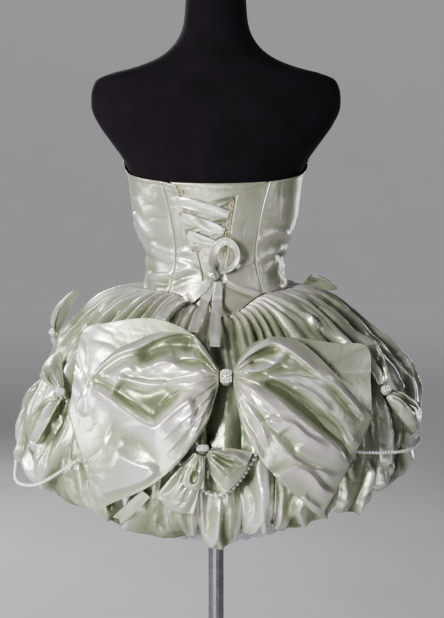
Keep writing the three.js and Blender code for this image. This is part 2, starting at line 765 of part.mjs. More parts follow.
function addLacing() {
  for (const tie of LACING) {
    const offset = LACING_FIRST_LAYER + (tie.layer - 1) * LACING_LAYER;
    const slope = Math.atan2(tie.toZ - tie.fromZ, tie.toX - tie.fromX);
    const half = RIBBON_WIDTH / 2 * (tie.layer === 2 ? 1 : NARROW_TIE);
    const rows = (distance) => {
      const grid = [];
      for (let i = 0; i <= LACING_STEPS; i += 1) {
        const share = i / LACING_STEPS;
        const x = mix(tie.fromX, tie.toX, share);
        const z = mix(tie.fromZ, tie.toZ, share);
        grid.push([-half, half].map((side) => (
          backPoint(x - side * Math.sin(slope), z + side * Math.cos(slope), distance)
        )));
      }
      return grid;
    };
    addPart(tie.name, sheet(rows(offset + THIN_CLOTH), rows(offset)), 'ribbon');
  }

  const loopStrip = (name, placket, towardsOpening, run) => {
    const steps = LOOP_EDGE.count * 2;
    const rows = (distance) => {
      const grid = [];
      for (let i = 0; i <= steps; i += 1) {
        const share = LOOP_EDGE.from + run * (i / steps);
        const width = i % 2 === 0 ? LOOP_EDGE.between : LOOP_EDGE.outer;
        const edge = placket(share) * DEGREE;
        const point = bodicePoint(edge, share, 0);
        const radius = Math.hypot(point.x, point.y);
        const from = edge - towardsOpening * LOOP_EDGE.inner / radius;
        const to = edge + towardsOpening * width / radius;
        grid.push([bodicePoint(from, share, distance), bodicePoint(to, share, distance)]);
      }
      return grid;
    };
    const lift = BODICE_GAP - 0.1;
    addPart(name, sheet(rows(lift + LOOP_EDGE.thickness), rows(lift)), 'piping');
  };
  const offPlacket = 0.9; // degrees
  loopStrip('lace_loops_left', (v) => SEAMS.placketLeft(v) - offPlacket, -1, LOOP_RUN.left);
  loopStrip('lace_loops_right', (v) => SEAMS.placketRight(v) + offPlacket, 1, LOOP_RUN.right);
}

// Bow of the lacing at the waist: knot, one standing loop and three hanging tails
const CORSET_KNOT = { x: 3, z: 1027, halfWidth: 10, halfHeight: 9, halfDepth: 6 };
const CORSET_LIFT = LACING_FIRST_LAYER + 2 * LACING_LAYER; // off the form
const CORSET_TAILS = [
  { name: 'corset_tail_left', startX: 8, endX: 66, endRow: 3.3, width: 17, lift: 5.0 },
  { name: 'corset_tail_middle', startX: 3, endX: 34, endRow: 3.5, width: 15, lift: 6.6 },
  { name: 'corset_tail_right', startX: -4, endX: 1, endRow: 4.1, width: 16, lift: 8.2 },
];

function knob(centre, right, up, out, halfWidth, halfHeight, halfDepth) {
  const geometry = new THREE.SphereGeometry(1, 10, 6);
  geometry.scale(halfWidth, halfHeight, halfDepth);
  const place = new THREE.Matrix4().makeBasis(right, up, out);
  place.setPosition(centre);
  return geometry.applyMatrix4(place);
}

function addCorsetBow() {
  const { x, z, halfWidth, halfHeight, halfDepth } = CORSET_KNOT;
  const behind = new THREE.Vector3(0, 1, 0);
  const right = new THREE.Vector3(-1, 0, 0);
  const up = new THREE.Vector3(0, 0, 1);
  const centre = backPoint(x, z, CORSET_LIFT + halfDepth);
  addPart('corset_knot', knob(centre, right, up, behind, halfWidth, halfHeight, halfDepth), 'ribbon');

  // The loop leaves the knot's top, circles to the right and comes back beside it.
  const loopCentre = new THREE.Vector3(x - 18, centre.y + 1, z + 33.3);
  const loopRadius = { across: 19, up: 24 };
  const loopTurn = { from: -152, to: 156, lean: -20 };
  const loopWidth = RIBBON_WIDTH * 0.8;
  const loopRise = 5;
  const loopSteps = 18;
  const rows = [];
  for (let i = 0; i <= loopSteps; i += 1) {
    const turn = mix(loopTurn.from, loopTurn.to, i / loopSteps) * DEGREE;
    const spoke = new THREE.Vector3(-Math.sin(turn), 0, Math.cos(turn));
    const middle = loopCentre.clone();
    middle.x += loopRadius.across * spoke.x;
    middle.z += loopRadius.up * spoke.z;
    middle.y += loopRise * Math.sin((i / loopSteps) * Math.PI);
    const lean = loopTurn.lean * DEGREE;
    const face = spoke.clone().multiplyScalar(Math.cos(lean)).addScaledVector(behind, -Math.sin(lean));
    rows.push([-0.5, 0.5].map((share) => (
      middle.clone().addScaledVector(face, share * loopWidth)
    )));
  }
  addPart('corset_loop', thickSheet(rows, THIN_CLOTH), 'ribbon');

  for (const tail of CORSET_TAILS) {
    const path = [];
    const faces = [];
    const nearLift = LACING_FIRST_LAYER + tail.lift + THIN_CLOTH / 2;
    const depthShare = (nearLift - CORSET_LIFT - halfDepth) / halfDepth;
    const knotDrop = halfHeight * Math.sqrt(1 - depthShare * depthShare);
    const knotGap = 1.5;
    const startZ = z - knotDrop - knotGap;
    const endOnBodice = 984;
    const firstRow = 1.7; // of the skirt
    for (let i = 0; i <= 3; i += 1) {
      const along = mix(startZ, endOnBodice, i / 3);
      const across = mix(tail.startX, mix(tail.startX, tail.endX, 0.35), i / 3);
      path.push(backPoint(across, along, LACING_FIRST_LAYER + tail.lift));
      faces.push(behind);
    }
    for (let i = 0; i <= 4; i += 1) {
      const row = mix(firstRow, tail.endRow, i / 4);
      const across = mix(mix(tail.startX, tail.endX, 0.5), tail.endX, i / 4);
      const angle = skirtAngle(across, row);
      const normal = envelopeNormal(angle, row);
      path.push(envelope(angle, row).addScaledVector(normal, tail.lift));
      faces.push(normal);
    }
    const curve = new THREE.CatmullRomCurve3(path, false, 'centripetal');
    const steps = 9;
    const grid = [];
    for (let i = 0; i <= steps; i += 1) {
      const share = curve.getUtoTmapping(i / steps);
      const point = curve.getPoint(share);
      const along = curve.getTangent(share);
      const index = Math.min(Math.floor(share * (faces.length - 1)), faces.length - 2);
      const face = faces[index].clone().lerp(faces[index + 1], share * (faces.length - 1) - index);
      const across = new THREE.Vector3().crossVectors(along, face).normalize();
      grid.push([-0.5, 0.5].map((side) => (
        point.clone().addScaledVector(across, side * tail.width)
      )));
    }
    addPart(tail.name, thickSheet(grid, THIN_CLOTH), 'ribbon');
  }
}

// Wide loops of the bows

// A closed loop of cloth: its front and back layers join in a fold at the outer end.
// front(s, w) and back(s, w) give points, s from the knot to the fold, w across the cloth.
function loopRows(front, back, fold, steps, across) {
  const rows = [];
  const line = (layer, s) => {
    const row = [];
    for (let j = 0; j <= across; j += 1) {
      row.push(layer(s, j / across));
    }
    return row;
  };
  for (let i = 0; i <= steps; i += 1) {
    rows.push(line(front, i / steps));
  }
  rows.push(line((s, w) => fold(w), 1));
  for (let i = steps; i >= 0; i -= 1) {
    rows.push(line(back, i / steps));
  }
  return rows;
}

// Big back bow: the rims of each wing as x and height, from the knot to the fold
const BIG_KNOT = { x: -16, z: 892, halfWidth: 10.7, halfHeight: 13, halfDepth: 13 };
const BIG_WINGS = {
  left: {
    upperFront: [[-5, 903], [18, 937], [36, 953], [87, 956], [122, 943], [156, 925], [190, 888], [223, 828]],
    upperBack: [[-5, 905], [18, 940], [61, 965], [104, 974], [160, 966], [203, 951], [216, 888], [223, 830]],
    lower: [[-5, 882], [10, 834], [33, 801], [63, 767], [102, 735], [150, 709], [174, 693]],
    pleats: 5,
    scoop: { s: 0.5, w: 0.42, depth: 16.8 },
  },
  right: {
    upperFront: [[-27, 903], [-48, 929], [-72, 945], [-90, 950], [-123, 944], [-151, 924], [-195, 878], [-240, 822]],
    upperBack: [[-27, 905], [-48, 932], [-73, 944], [-124, 945], [-178, 936], [-233, 927], [-238, 876], [-240, 825]],
    lower: [[-27, 882], [-40, 826], [-66, 782], [-86, 756], [-129, 711], [-145, 693], [-158, 682]],
    pleats: 5,
    scoop: { s: 0.62, w: 0.3, depth: 9.8 },
  },
};
const WING_STEPS = 10;
const WING_ACROSS = 9;
const WING_STAND_OFF = 9; // back layer off the skirt
const WING_ROOT_DEPTH = 7; // front layer off the back layer beside the knot
const WING_PUFF = 25;
const WING_FOLD = 2.5; // how far the fold stands out past the layers
const PLEAT_DEPTH = 4;
const SCOOP_SPREAD = { s: 0.24, w: 0.2 };
const LEAST_LIFT = 6;

// A curve through hand-placed rim points, by its share of length.
function rim(points) {
  const curve = new THREE.CatmullRomCurve3(
    points.map(([x, z]) => new THREE.Vector3(x, 0, z)),
    false,
    'centripetal',
  );
  return (share) => curve.getPointAt(THREE.MathUtils.clamp(share, 0, 1));
}

const BOW_PLANE = { y: 241, bend: 0.0008, lean: 0.4, blend: 60, skirtTop: 950 };

// The bow's own plane leans back above the knot and to the sides. The skirt pushes it out.
function bowBaseY(x, z) {
  const lean = BOW_PLANE.lean * Math.max(0, z - BIG_KNOT.z);
  const plane = BOW_PLANE.y - BOW_PLANE.bend * x * x - lean;
  const cloth = skirtBackY(x, Math.min(z, BOW_PLANE.skirtTop)) + WING_STAND_OFF;
  const apart = plane - cloth;
  return (plane + cloth + Math.sqrt(apart * apart + BOW_PLANE.blend)) / 2;
}

function addBigBow() {
  for (const [side, wing] of Object.entries(BIG_WINGS)) {
    const outward = side === 'left' ? 1 : -1;
    const upperFront = rim(wing.upperFront);
    const upperBack = rim(wing.upperBack);
    const lower = rim(wing.lower);
    const lay = (upper, s, w, lift) => {
      const top = upper(s);
      const bottom = lower(s);
      const x = mix(top.x, bottom.x, w);
      const z = mix(top.z, bottom.z, w);
      return new THREE.Vector3(x, bowBaseY(x, z) + lift, z);
    };
    const front = (s, w) => {
      const crown = Math.sin(Math.PI * Math.pow(s, 0.8)) * (0.45 + 0.55 * Math.sin(Math.PI * w));
      const pleat = Math.cos(2 * Math.PI * wing.pleats * w) * smooth(s * 5) * (1 - s);
      const fromScoop = Math.hypot(
        (s - wing.scoop.s) / SCOOP_SPREAD.s,
        (w - wing.scoop.w) / SCOOP_SPREAD.w,
      );
      const hollow = wing.scoop.depth * Math.exp(-fromScoop * fromScoop);
      const lift = WING_ROOT_DEPTH + WING_PUFF * crown + PLEAT_DEPTH * pleat - hollow;
      return lay(upperFront, s, w, Math.max(lift, LEAST_LIFT));
    };
    const back = (s, w) => lay(upperBack, s, w, 0);
    const fold = (w) => {
      const middle = front(1, w).lerp(back(1, w), 0.5);
      middle.x += outward * WING_FOLD;
      return middle;
    };
    const rows = loopRows(front, back, fold, WING_STEPS, WING_ACROSS);
    addPart(`big_bow_wing_${side}`, thickSheet(rows, CLOTH), 'bow_satin');
  }

  const { x, z, halfWidth, halfHeight, halfDepth } = BIG_KNOT;
  const centre = new THREE.Vector3(x, bowBaseY(x, z) - WING_STAND_OFF + 0.5 + halfDepth, z);
  const right = new THREE.Vector3(-1, 0, 0);
  const up = new THREE.Vector3(0, 0, 1);
  const behind = new THREE.Vector3(0, 1, 0);
  const knotShape = knob(centre, right, up, behind, halfWidth, halfHeight, halfDepth);
  const knot = addPart('big_bow_knot', knotShape, 'bow_satin');
  seatOnSkirt([knot], new THREE.Vector3(0, -1, 0));
}

// Small bows: where each knot sits on the skirt, and its two wings.
// turn is the wing's direction seen from outside, 0 to the right and 90 up.
const SMALL_BOWS = [
  {
    name: 'bow_centre', angle: 3.8, row: 7.05, lift: 13.5, knotDepth: 11,
    wings: [
      { name: 'left', turn: -116, length: 90, root: 15, tip: 60, puff: 13 },
      { name: 'right', turn: -34, length: 62, root: 16, tip: 76, puff: 17 },
    ],
  },
  {
    name: 'bow_left', angle: 54, row: 6.0, lift: 2, knotDepth: 8,
    wings: [
      { name: 'upper', turn: 150, length: 74, root: 14, tip: 54, puff: 14 },
      { name: 'lower', turn: 234, length: 86, root: 15, tip: 58, puff: 15 },
    ],
  },
  {
    name: 'bow_right', angle: -58, row: 5.95, lift: 2, knotDepth: 8,
    wings: [
      { name: 'upper', turn: 84, length: 66, root: 15, tip: 52, puff: 13 },
      { name: 'lower', turn: -44, length: 84, root: 15, tip: 60, puff: 15 },
    ],
  },
  {
    name: 'bow_front_left', angle: 103, row: 4.95, lift: 2, knotDepth: 8,
    wings: [
      { name: 'upper', turn: 62, length: 84, root: 15, tip: 60, puff: 14 },
      { name: 'lower', turn: 205, length: 80, root: 15, tip: 58, puff: 15 },
    ],
  },
  {
    name: 'bow_front_right', angle: -129, row: 3.2, lift: 4.6, knotDepth: 9,
    wings: [
      { name: 'upper', turn: 22, length: 72, root: 15, tip: 54, puff: 18 },
      { name: 'lower', turn: 158, length: 72, root: 15, tip: 54, puff: 18 },
    ],
  },
];
const SMALL_KNOT = { halfWidth: 9, halfHeight: 9 };
const SMALL_STEPS = 5;
const SMALL_ACROSS = 3;
const SKIRT_CURVE = 420; // radius by which a small bow bends to the skirt

function addSmallBows() {
  for (const bow of SMALL_BOWS) {
    const angle = bow.angle * DEGREE;
    const seat = envelope(angle, bow.row);
    const out = envelopeNormal(angle, bow.row);
    const right = new THREE.Vector3(-Math.cos(angle), Math.sin(angle), 0);
    right.addScaledVector(out, -right.dot(out)).normalize();
    const up = new THREE.Vector3().crossVectors(out, right);
    const place = (p, q, height) => {
      const wrapped = height - (p * p + q * q) / (2 * SKIRT_CURVE);
      return seat.clone()
        .addScaledVector(right, p)
        .addScaledVector(up, q)
        .addScaledVector(out, wrapped);
    };
    const { halfWidth, halfHeight } = SMALL_KNOT;
    const halfDepth = bow.knotDepth;
    const centre = place(0, 0, halfDepth + 0.5);
    const knot = knob(centre, right, up, out, halfWidth, halfHeight, halfDepth);
    const pieces = [addPart(`${bow.name}_knot`, knot, 'bow_satin')];

    for (const wing of bow.wings) {
      const turn = wing.turn * DEGREE;
      const start = halfHeight + FACE_GAP + CLOTH / 4;
      const spot = (s, w, height, extra) => {
        const along = mix(start, wing.length, s) + extra;
        const width = mix(wing.root, wing.tip, Math.pow(s, 0.75));
        const side = (0.5 - w) * width;
        const rounding = 0.12 * wing.length * s * (1 - Math.pow(2 * w - 1, 2));
        const reach = along + rounding;
        const p = reach * Math.cos(turn) - side * Math.sin(turn);
        const q = reach * Math.sin(turn) + side * Math.cos(turn);
        return place(p, q, height);
      };
      const front = (s, w) => {
        const crown = Math.sin(Math.PI * Math.pow(s, 0.75)) * (0.6 + 0.4 * Math.sin(Math.PI * w));
        const pleat = 1.6 * Math.cos(2 * Math.PI * w) * (1 - s);
        return spot(s, w, bow.lift + 6.5 + wing.puff * crown + pleat, 0);
      };
      const back = (s, w) => spot(s, w, bow.lift, 0);
      const fold = (w) => spot(1, w, bow.lift + 3.2, 2);
      const rows = loopRows(front, back, fold, SMALL_STEPS, SMALL_ACROSS);
      pieces.push(addPart(`${bow.name}_${wing.name}`, thickSheet(rows, CLOTH), 'bow_satin'));
    }
    seatOnSkirt(pieces, out.clone().negate());
  }
}

// Ribbon tail that hangs from under the big bow's left wing
const RIBBON_TAIL = { fromX: 104, fromZ: 722, toX: 149, toZ: 672, width: 18, lift: 3 };

function addRibbonTail() {
  const { fromX, fromZ, toX, toZ, width, lift } = RIBBON_TAIL;
  const slope = Math.atan2(toZ - fromZ, toX - fromX);
  const steps = 6;
  const rows = [];
  for (let i = 0; i <= steps; i += 1) {
    const x = mix(fromX, toX, i / steps);
    const z = mix(fromZ, toZ, i / steps);
    rows.push([-0.5, 0, 0.5].map((share) => {
      const px = x - share * width * Math.sin(slope);
      const pz = z + share * width * Math.cos(slope);
      return new THREE.Vector3(px, skirtBackY(px, pz) + lift, pz);
    }));
  }
  const tail = addPart('big_bow_tail', thickSheet(rows, THIN_CLOTH), 'bow_satin');
  seatOnSkirt([tail], new THREE.Vector3(0, -1, 0));
}

// Bead strands: each hangs in a swag between two places on the skirt. gap is what its end
// points keep from the highest folds near them.
const SWAGS = [
  { name: 'strand_left', from: 108, fromZ: 768, to: 40, toZ: 768, low: 690, gap: 0.5 },
  { name: 'strand_centre', from: 15, fromZ: 806, to: -15.5, toZ: 806, low: 719, gap: 0.5 },
  { name: 'strand_right', from: -37, fromZ: 778, to: -144, toZ: 778, low: 744, gap: 0.5 },
  { name: 'strand_front_right', from: -144, fromZ: 778, to: -180, toZ: 782, low: 728, gap: 0.5 },
  { name: 'strand_front', from: 180, fromZ: 782, to: 144, toZ: 778, low: 728, gap: -0.4 },
  { name: 'strand_front_left', from: 144, fromZ: 778, to: 108, toZ: 768, low: 724, gap: 0.5 },
];
const STRAND_END_TRIM = 0.9; // degrees left free where two strands meet

// The envelope's reach at a height: below the widest row a strand hangs straight down.
function hangingPoint(angle, z, stand) {
  let low = 3;
  let high = 8.4;
  for (let i = 0; i < 24; i += 1) {
    const middle = (low + high) / 2;
    if (envelope(angle, middle).z > z) {
      low = middle;
    } else {
      high = middle;
    }
  }
  return around(angle, skirtRadius(angle, envelope(angle, low).z) + stand, z);
}

function addStrands() {
  const section = new THREE.Shape();
  const sides = 8;
  for (let i = 0; i < sides; i += 1) {
    const turn = (i / sides) * 2 * Math.PI;
    const corner = [BEAD_RADIUS * Math.cos(turn), BEAD_RADIUS * Math.sin(turn)];
    if (i === 0) {
      section.moveTo(...corner);
    } else {
      section.lineTo(...corner);
    }
  }
  section.closePath();
  for (const swag of SWAGS) {
    const sweep = Math.sign(swag.to - swag.from);
    const from = swag.from + sweep * STRAND_END_TRIM;
    const to = swag.to - sweep * STRAND_END_TRIM;
    const points = [];
    const count = 22;
    for (let i = 0; i <= count; i += 1) {
      const share = i / count;
      const line = mix(swag.fromZ, swag.toZ, share);
      const drop = (swag.fromZ + swag.toZ) / 2 - swag.low;
      const z = line - drop * 4 * share * (1 - share);
      points.push(hangingPoint(mix(from, to, share) * DEGREE, z, BEAD_RADIUS + swag.gap));
    }
    const curve = new THREE.CatmullRomCurve3(points, false, 'centripetal');
    const steps = Math.round(curve.getLength() / STRAND_STEP);
    const tube = new THREE.ExtrudeGeometry(section, { steps, extrudePath: curve, bevelEnabled: false });
    addPart(swag.name, tube, 'bead');
  }
}

addStand();
addBodice();
addSkirt();
addLacing();
addCorsetBow();
addBigBow();
addSmallBows();
addRibbonTail();
addStrands();

export default dress;
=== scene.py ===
"""Bubble dress with a laced back, worn by a limbless dress form on a pole.

Shapes are worked out in millimetres, +Z up, with the laced back towards +Y.
Angles go round the form from the back centre and rise towards +X.
"""

import math

import bpy
import numpy as np
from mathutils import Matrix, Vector
from mathutils.bvhtree import BVHTree


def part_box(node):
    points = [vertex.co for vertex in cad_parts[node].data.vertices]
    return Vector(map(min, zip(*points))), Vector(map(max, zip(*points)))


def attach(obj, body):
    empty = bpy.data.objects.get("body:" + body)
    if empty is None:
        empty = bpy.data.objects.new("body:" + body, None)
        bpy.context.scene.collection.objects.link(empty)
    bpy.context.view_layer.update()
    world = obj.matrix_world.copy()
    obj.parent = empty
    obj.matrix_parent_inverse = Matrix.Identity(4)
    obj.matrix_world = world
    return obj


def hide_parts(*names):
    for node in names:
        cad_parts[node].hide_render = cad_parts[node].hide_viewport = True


MM = 0.001
DEGREE = math.pi / 180
BEHIND = np.array([0.0, 1.0, 0.0])
UP = np.array([0.0, 0.0, 1.0])
RIGHT = np.array([-1.0, 0.0, 0.0])

# Sizes of the cloth, as in the part
CLOTH = 1.6
THIN_CLOTH = 1.0
BODICE_GAP = 3.1
RIBBON_WIDTH = 17
BEAD_RADIUS = 2.7
BEAD_PITCH = 7.3
BEAD_RINGS = 6
BEAD_SIDES = 9
NECK_TOP = 1498

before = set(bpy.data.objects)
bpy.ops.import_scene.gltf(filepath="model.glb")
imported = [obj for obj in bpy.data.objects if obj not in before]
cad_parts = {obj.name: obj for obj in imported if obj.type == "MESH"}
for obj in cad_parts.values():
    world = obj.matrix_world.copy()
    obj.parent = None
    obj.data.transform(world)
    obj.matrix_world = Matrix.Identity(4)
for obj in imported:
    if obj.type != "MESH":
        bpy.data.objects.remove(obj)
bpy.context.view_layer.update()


# Small helpers


def table(names, *rows):
    """Rows of a table as dictionaries by column name."""
    return [dict(zip(names.split(), row)) for row in rows]


def mix(a, b, share):
    """A value between two others, by its share of the way."""
    return a + (b - a) * share


def smooth(share):
    """An S curve from 0 to 1, flat outside that range."""
    t = np.clip(share, 0, 1)
    return t * t * (3 - 2 * t)


def hump(value, middle, width):
    """A bell curve that is 1 in its middle."""
    return np.exp(-(((value - middle) / width) ** 2))


def inside(share, rise, fall):
    """0 at both ends of a share and 1 between, over these shares of its length."""
    return smooth(share / rise) * smooth((1 - share) / fall)


def scatter(index, salt):
    """A fixed scatter between 0 and 1 for whole numbers."""
    wave = np.sin(np.asarray(index, float) * 12.9898 + salt * 78.233) * 43758.5453
    return wave - np.floor(wave)


def column(rows, key, name):
    """A smooth curve through one column of a table whose key column rises."""
    keys = np.array([row[key] for row in rows], float)
    values = np.array([row[name] for row in rows], float)
    order = np.arange(len(keys))
    before = np.maximum(order - 1, 0)
    after = np.minimum(order + 1, len(keys) - 1)
    slopes = (values[after] - values[before]) / (keys[after] - keys[before])

    def curve(x):
        x = np.asarray(x, float)
        i = np.clip(np.searchsorted(keys, x) - 1, 0, len(keys) - 2)
        span = keys[i + 1] - keys[i]
        t = np.clip((x - keys[i]) / span, 0, 1)
        leave = t * (1 - t) ** 2 * span * slopes[i]
        arrive = t * t * (t - 1) * span * slopes[i + 1]
        return mix(values[i], values[i + 1], smooth(t)) + leave + arrive

    return curve


def around(angle, radius, z):
    """Points at an angle and a radius about the form's axis."""
    angle, radius, z = np.broadcast_arrays(angle, radius, z)
    return np.stack([radius * np.sin(angle), radius * np.cos(angle), z], -1)


def unit(vectors):
    vectors = np.asarray(vectors, float)
    return vectors / np.maximum(np.linalg.norm(vectors, axis=-1, keepdims=True), 1e-9)


def half_turn(angle):
    """The same angle between minus and plus half a turn."""
    return angle - 2 * math.pi * np.round(angle / (2 * math.pi))


def noise(points, size, salt):
    """Smooth noise between -1 and 1 whose features have this size."""
    scaled = np.asarray(points, float) / size
    cell = np.floor(scaled)
    share = smooth(scaled - cell)
    total = 0
    for corner in np.ndindex(2, 2, 2):
        wave = np.sin((cell + corner) @ (127.1, 311.7, 74.7) + salt * 53.3) * 43758.5453
        weight = np.prod(np.where(corner, share, 1 - share), axis=-1)
        total = total + (wave - np.floor(wave)) * weight
    return 2 * total - 1


def crumple(points, size, salt):
    """Sharp creases with soft fields between them, from -1 in a crease to 1."""
    warp = noise(points, size * 1.7, salt + 5)[..., None] * size * 0.5
    return 2 * np.sqrt(np.abs(noise(points + warp, size, salt))) - 1


def distance_to_path(flat, path):
    """Distance from a path, the share of the path where that is, and its side: 1 on the left."""
    path = np.asarray(path, float)
    lengths = np.linalg.norm(np.diff(path, axis=0), axis=1)
    starts = np.concatenate([[0], np.cumsum(lengths)])
    best = np.full(flat.shape[:-1], 1e9)
    share = np.zeros(flat.shape[:-1])
    side = np.ones(flat.shape[:-1])
    for a, b, length, start in zip(path[:-1], path[1:], lengths, starts):
        ahead, off = b - a, flat - a
        t = np.clip((off @ ahead) / length**2, 0, 1)
        away = np.linalg.norm(off - t[..., None] * ahead, axis=-1)
        nearer = away < best
        best = np.where(nearer, away, best)
        share = np.where(nearer, (start + t * length) / starts[-1], share)
        turned = np.sign(ahead[0] * off[..., 1] - ahead[1] * off[..., 0])
        side = np.where(nearer, turned, side)
    return best, share, side


def spline(points, count):
    """A smooth curve through points, evenly spaced."""
    points = np.asarray(points, float)
    padded = np.concatenate([2 * points[:1] - points[1:2], points, 2 * points[-1:] - points[-2:-1]])
    fine = []
    for a, b, c, d in zip(padded, padded[1:], padded[2:], padded[3:]):
        t = np.linspace(0, 1, 24, endpoint=False)[:, None]
        square = (2 * a - 5 * b + 4 * c - d) * t**2
        cube = (3 * b - a - 3 * c + d) * t**3
        fine.append(0.5 * (2 * b + (c - a) * t + square + cube))
    fine = np.concatenate([*fine, points[-1:]])
    return resample(fine, count)


def resample(points, count):
    """The same line with points evenly spaced along it."""
    steps = np.linalg.norm(np.diff(points, axis=0), axis=1)
    along = np.concatenate([[0], np.cumsum(steps)])
    at = np.linspace(0, along[-1], count)
    return np.stack([np.interp(at, along, points[:, i]) for i in range(points.shape[1])], -1)


FOLD_POWER = 1.3


def creases(flat, rows):
    """Height of listed folds, each with a path, a width and a height.

    A fold with a lap slopes gently on the path's left, over the lap's length,
    and drops steeply into a valley on the right.
    """
    total = np.zeros(flat.shape[:-1])
    for row in rows:
        path = row["path"]
        if len(path) > 2:
            path = spline(path, 4 * len(path))
        away, share, side = distance_to_path(flat, path)
        taper = inside(share, 0.12, 0.25)
        steep = np.exp(-((away / row["width"]) ** row.get("power", FOLD_POWER)))
        if row.get("lap"):
            gentle = np.exp(-((away / row["lap"]) ** 1.4))
            valley = np.exp(-(((away - 2.4 * row["width"]) / (1.7 * row["width"])) ** 2))
            steep = np.where(side > 0, gentle, steep - 0.5 * valley)
        total += row["height"] * taper * steep
    return total


def pleats(phase):
    """Knife pleats by phase, one a whole number: a slow rise and a steep fall, from -1 to 1."""
    share = phase - np.floor(phase)
    return 2 * smooth(share / 0.78) * (1 - smooth((share - 0.78) / 0.22)) - 1


# Meshes


def quads(rows, columns, closed=False):
    """Faces between rows of points. A closed grid also joins its last column to its first."""
    i = np.arange(rows - 1)[:, None] * columns
    j = np.arange(columns if closed else columns - 1)[None, :]
    near, far = i + j, i + (j + 1) % columns
    return np.stack([near, far, far + columns, near + columns], -1).reshape(-1, 4)


def add_mesh(name, points, faces, material, painted_shading=None):
    """A piece from points in millimetres. Its painted shading is 0 in its folds' depths, where shade is
    painted, and 1 on their tops, where a highlight is painted.
    """
    mesh = bpy.data.meshes.new(name)
    corners = faces if isinstance(faces, list) else faces.tolist()
    mesh.from_pydata((np.reshape(points, (-1, 3)) * MM).tolist(), [], corners)
    mesh.shade_smooth()
    if painted_shading is not None:
        attribute = mesh.attributes.new("painted_shading", "FLOAT", "POINT")
        attribute.data.foreach_set("value", np.clip(np.ravel(painted_shading), 0, 1).astype(np.float32))
    obj = bpy.data.objects.new(name, mesh)
    bpy.context.scene.collection.objects.link(obj)
    mesh.materials.append(material)
    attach(obj, "root")
    return obj


def add_grid(name, points, material, closed=False, flip=False, painted_shading=None, thickness=0.0):
    """A sheet from rows of points. Thickness in millimetres is added on both sides."""
    rows, columns = points.shape[:2]
    faces = quads(rows, columns, closed)
    if flip:
        faces = faces[:, ::-1]
    obj = add_mesh(name, points, faces, material, painted_shading)
    if thickness:
        shell = obj.modifiers.new("thickness", "SOLIDIFY")
        shell.thickness = thickness * MM
        shell.offset = 0
    return obj


def sphere(rings, sides):
    """Points and faces of a unit sphere."""
    polar = np.linspace(0, math.pi, rings + 1)[1:-1]
    turn = np.linspace(0, 2 * math.pi, sides, endpoint=False)
    p, t = np.meshgrid(polar, turn, indexing="ij")
    body = np.stack([np.sin(p) * np.cos(t), np.sin(p) * np.sin(t), np.cos(p)], -1).reshape(-1, 3)
    points = np.concatenate([body, [[0, 0, 1], [0, 0, -1]]])
    faces = quads(rings - 1, sides, True)[:, ::-1].tolist()
    top, bottom = len(body), len(body) + 1
    last = (rings - 2) * sides
    for j in range(sides):
        k = (j + 1) % sides
        faces.append([top, j, k])
        faces.append([bottom, last + k, last + j])
    return points, faces


def joined(parts):
    """Joins (points, faces) pairs into one pair."""
    points, faces, start = [], [], 0
    for part_points, part_faces in parts:
        points.append(part_points)
        faces.extend([[start + index for index in face] for face in part_faces])
        start += len(part_points)
    return np.concatenate(points), faces


def beads_at(centres, radius):
    points, faces = sphere(BEAD_RINGS, BEAD_SIDES)
    return joined([(points * radius + centre, faces) for centre in centres])


def tube(path, radius, sides=8):
    """A round cord along a path, closed at its ends."""
    path = np.asarray(path, float)
    along = unit(np.gradient(path, axis=0))
    side = unit(np.cross(along[0], UP if abs(along[0][2]) < 0.9 else BEHIND))
    rings = []
    turn = np.linspace(0, 2 * math.pi, sides, endpoint=False)[:, None]
    for point, direction in zip(path, along):
        side = unit(side - direction * (side @ direction))
        other = np.cross(direction, side)
        rings.append(point + radius * (np.cos(turn) * side + np.sin(turn) * other))
    points = np.concatenate([*rings, path[:1], path[-1:]])
    faces = quads(len(path), sides, True).tolist()
    first, last = len(points) - 2, len(points) - 1
    base = (len(path) - 1) * sides
    for j in range(sides):
        k = (j + 1) % sides
        faces.append([first, k, j])
        faces.append([last, base + j, base + k])
    return points, faces


# Materials


def new_material(name):
    material = bpy.data.materials.new(name)
    material.use_nodes = True
    nodes = material.node_tree.nodes
    return material, nodes, material.node_tree.links, nodes["Principled BSDF"]


def texture(nodes, links, kind, scale, detail=2.0, distortion=0.0):
    """A noise or wave texture in object space. The scale is features to a metre."""
    node = nodes.new(kind)
    node.inputs["Scale"].default_value = scale
    node.inputs["Detail"].default_value = detail
    node.inputs["Distortion"].default_value = distortion
    place = nodes.new("ShaderNodeTexCoord")
    links.new(place.outputs["Object"], node.inputs["Vector"])
    return node.outputs["Fac"]


def ramp(nodes, links, value, stops):
    """A colour by a value. A stop is the value's share and its colour."""
    node = nodes.new("ShaderNodeValToRGB")
    elements = node.color_ramp.elements
    while len(elements) < len(stops):
        elements.new(0.5)
    for element, (position, colour) in zip(elements, stops):
        element.position = position
        element.color = (*colour, 1)
    links.new(value, node.inputs["Fac"])
    return node.outputs["Color"]


def bumps(nodes, links, shader, layers):
    """Chains bump nodes. A layer is a height, its depth in millimetres and its strength."""
    normal = None
    for height, depth, strength in layers:
        node = nodes.new("ShaderNodeBump")
        node.inputs["Distance"].default_value = depth * MM
        node.inputs["Strength"].default_value = strength
        links.new(height, node.inputs["Height"])
        if normal:
            links.new(normal, node.inputs["Normal"])
        normal = node.outputs["Normal"]
    links.new(normal, shader.inputs["Normal"])


def multiply(nodes, links, first, second):
    node = nodes.new("ShaderNodeMix")
    node.data_type = "RGBA"
    node.blend_type = "MULTIPLY"
    node.inputs["Factor"].default_value = 1.0
    links.new(first, node.inputs["A"])
    links.new(second, node.inputs["B"])
    return node.outputs["Result"]


def vary_roughness(nodes, links, shader, value, low, high):
    gloss = nodes.new("ShaderNodeMapRange")
    links.new(value, gloss.inputs["Value"])
    gloss.inputs["To Min"].default_value = low
    gloss.inputs["To Max"].default_value = high
    links.new(gloss.outputs["Result"], shader.inputs["Roughness"])


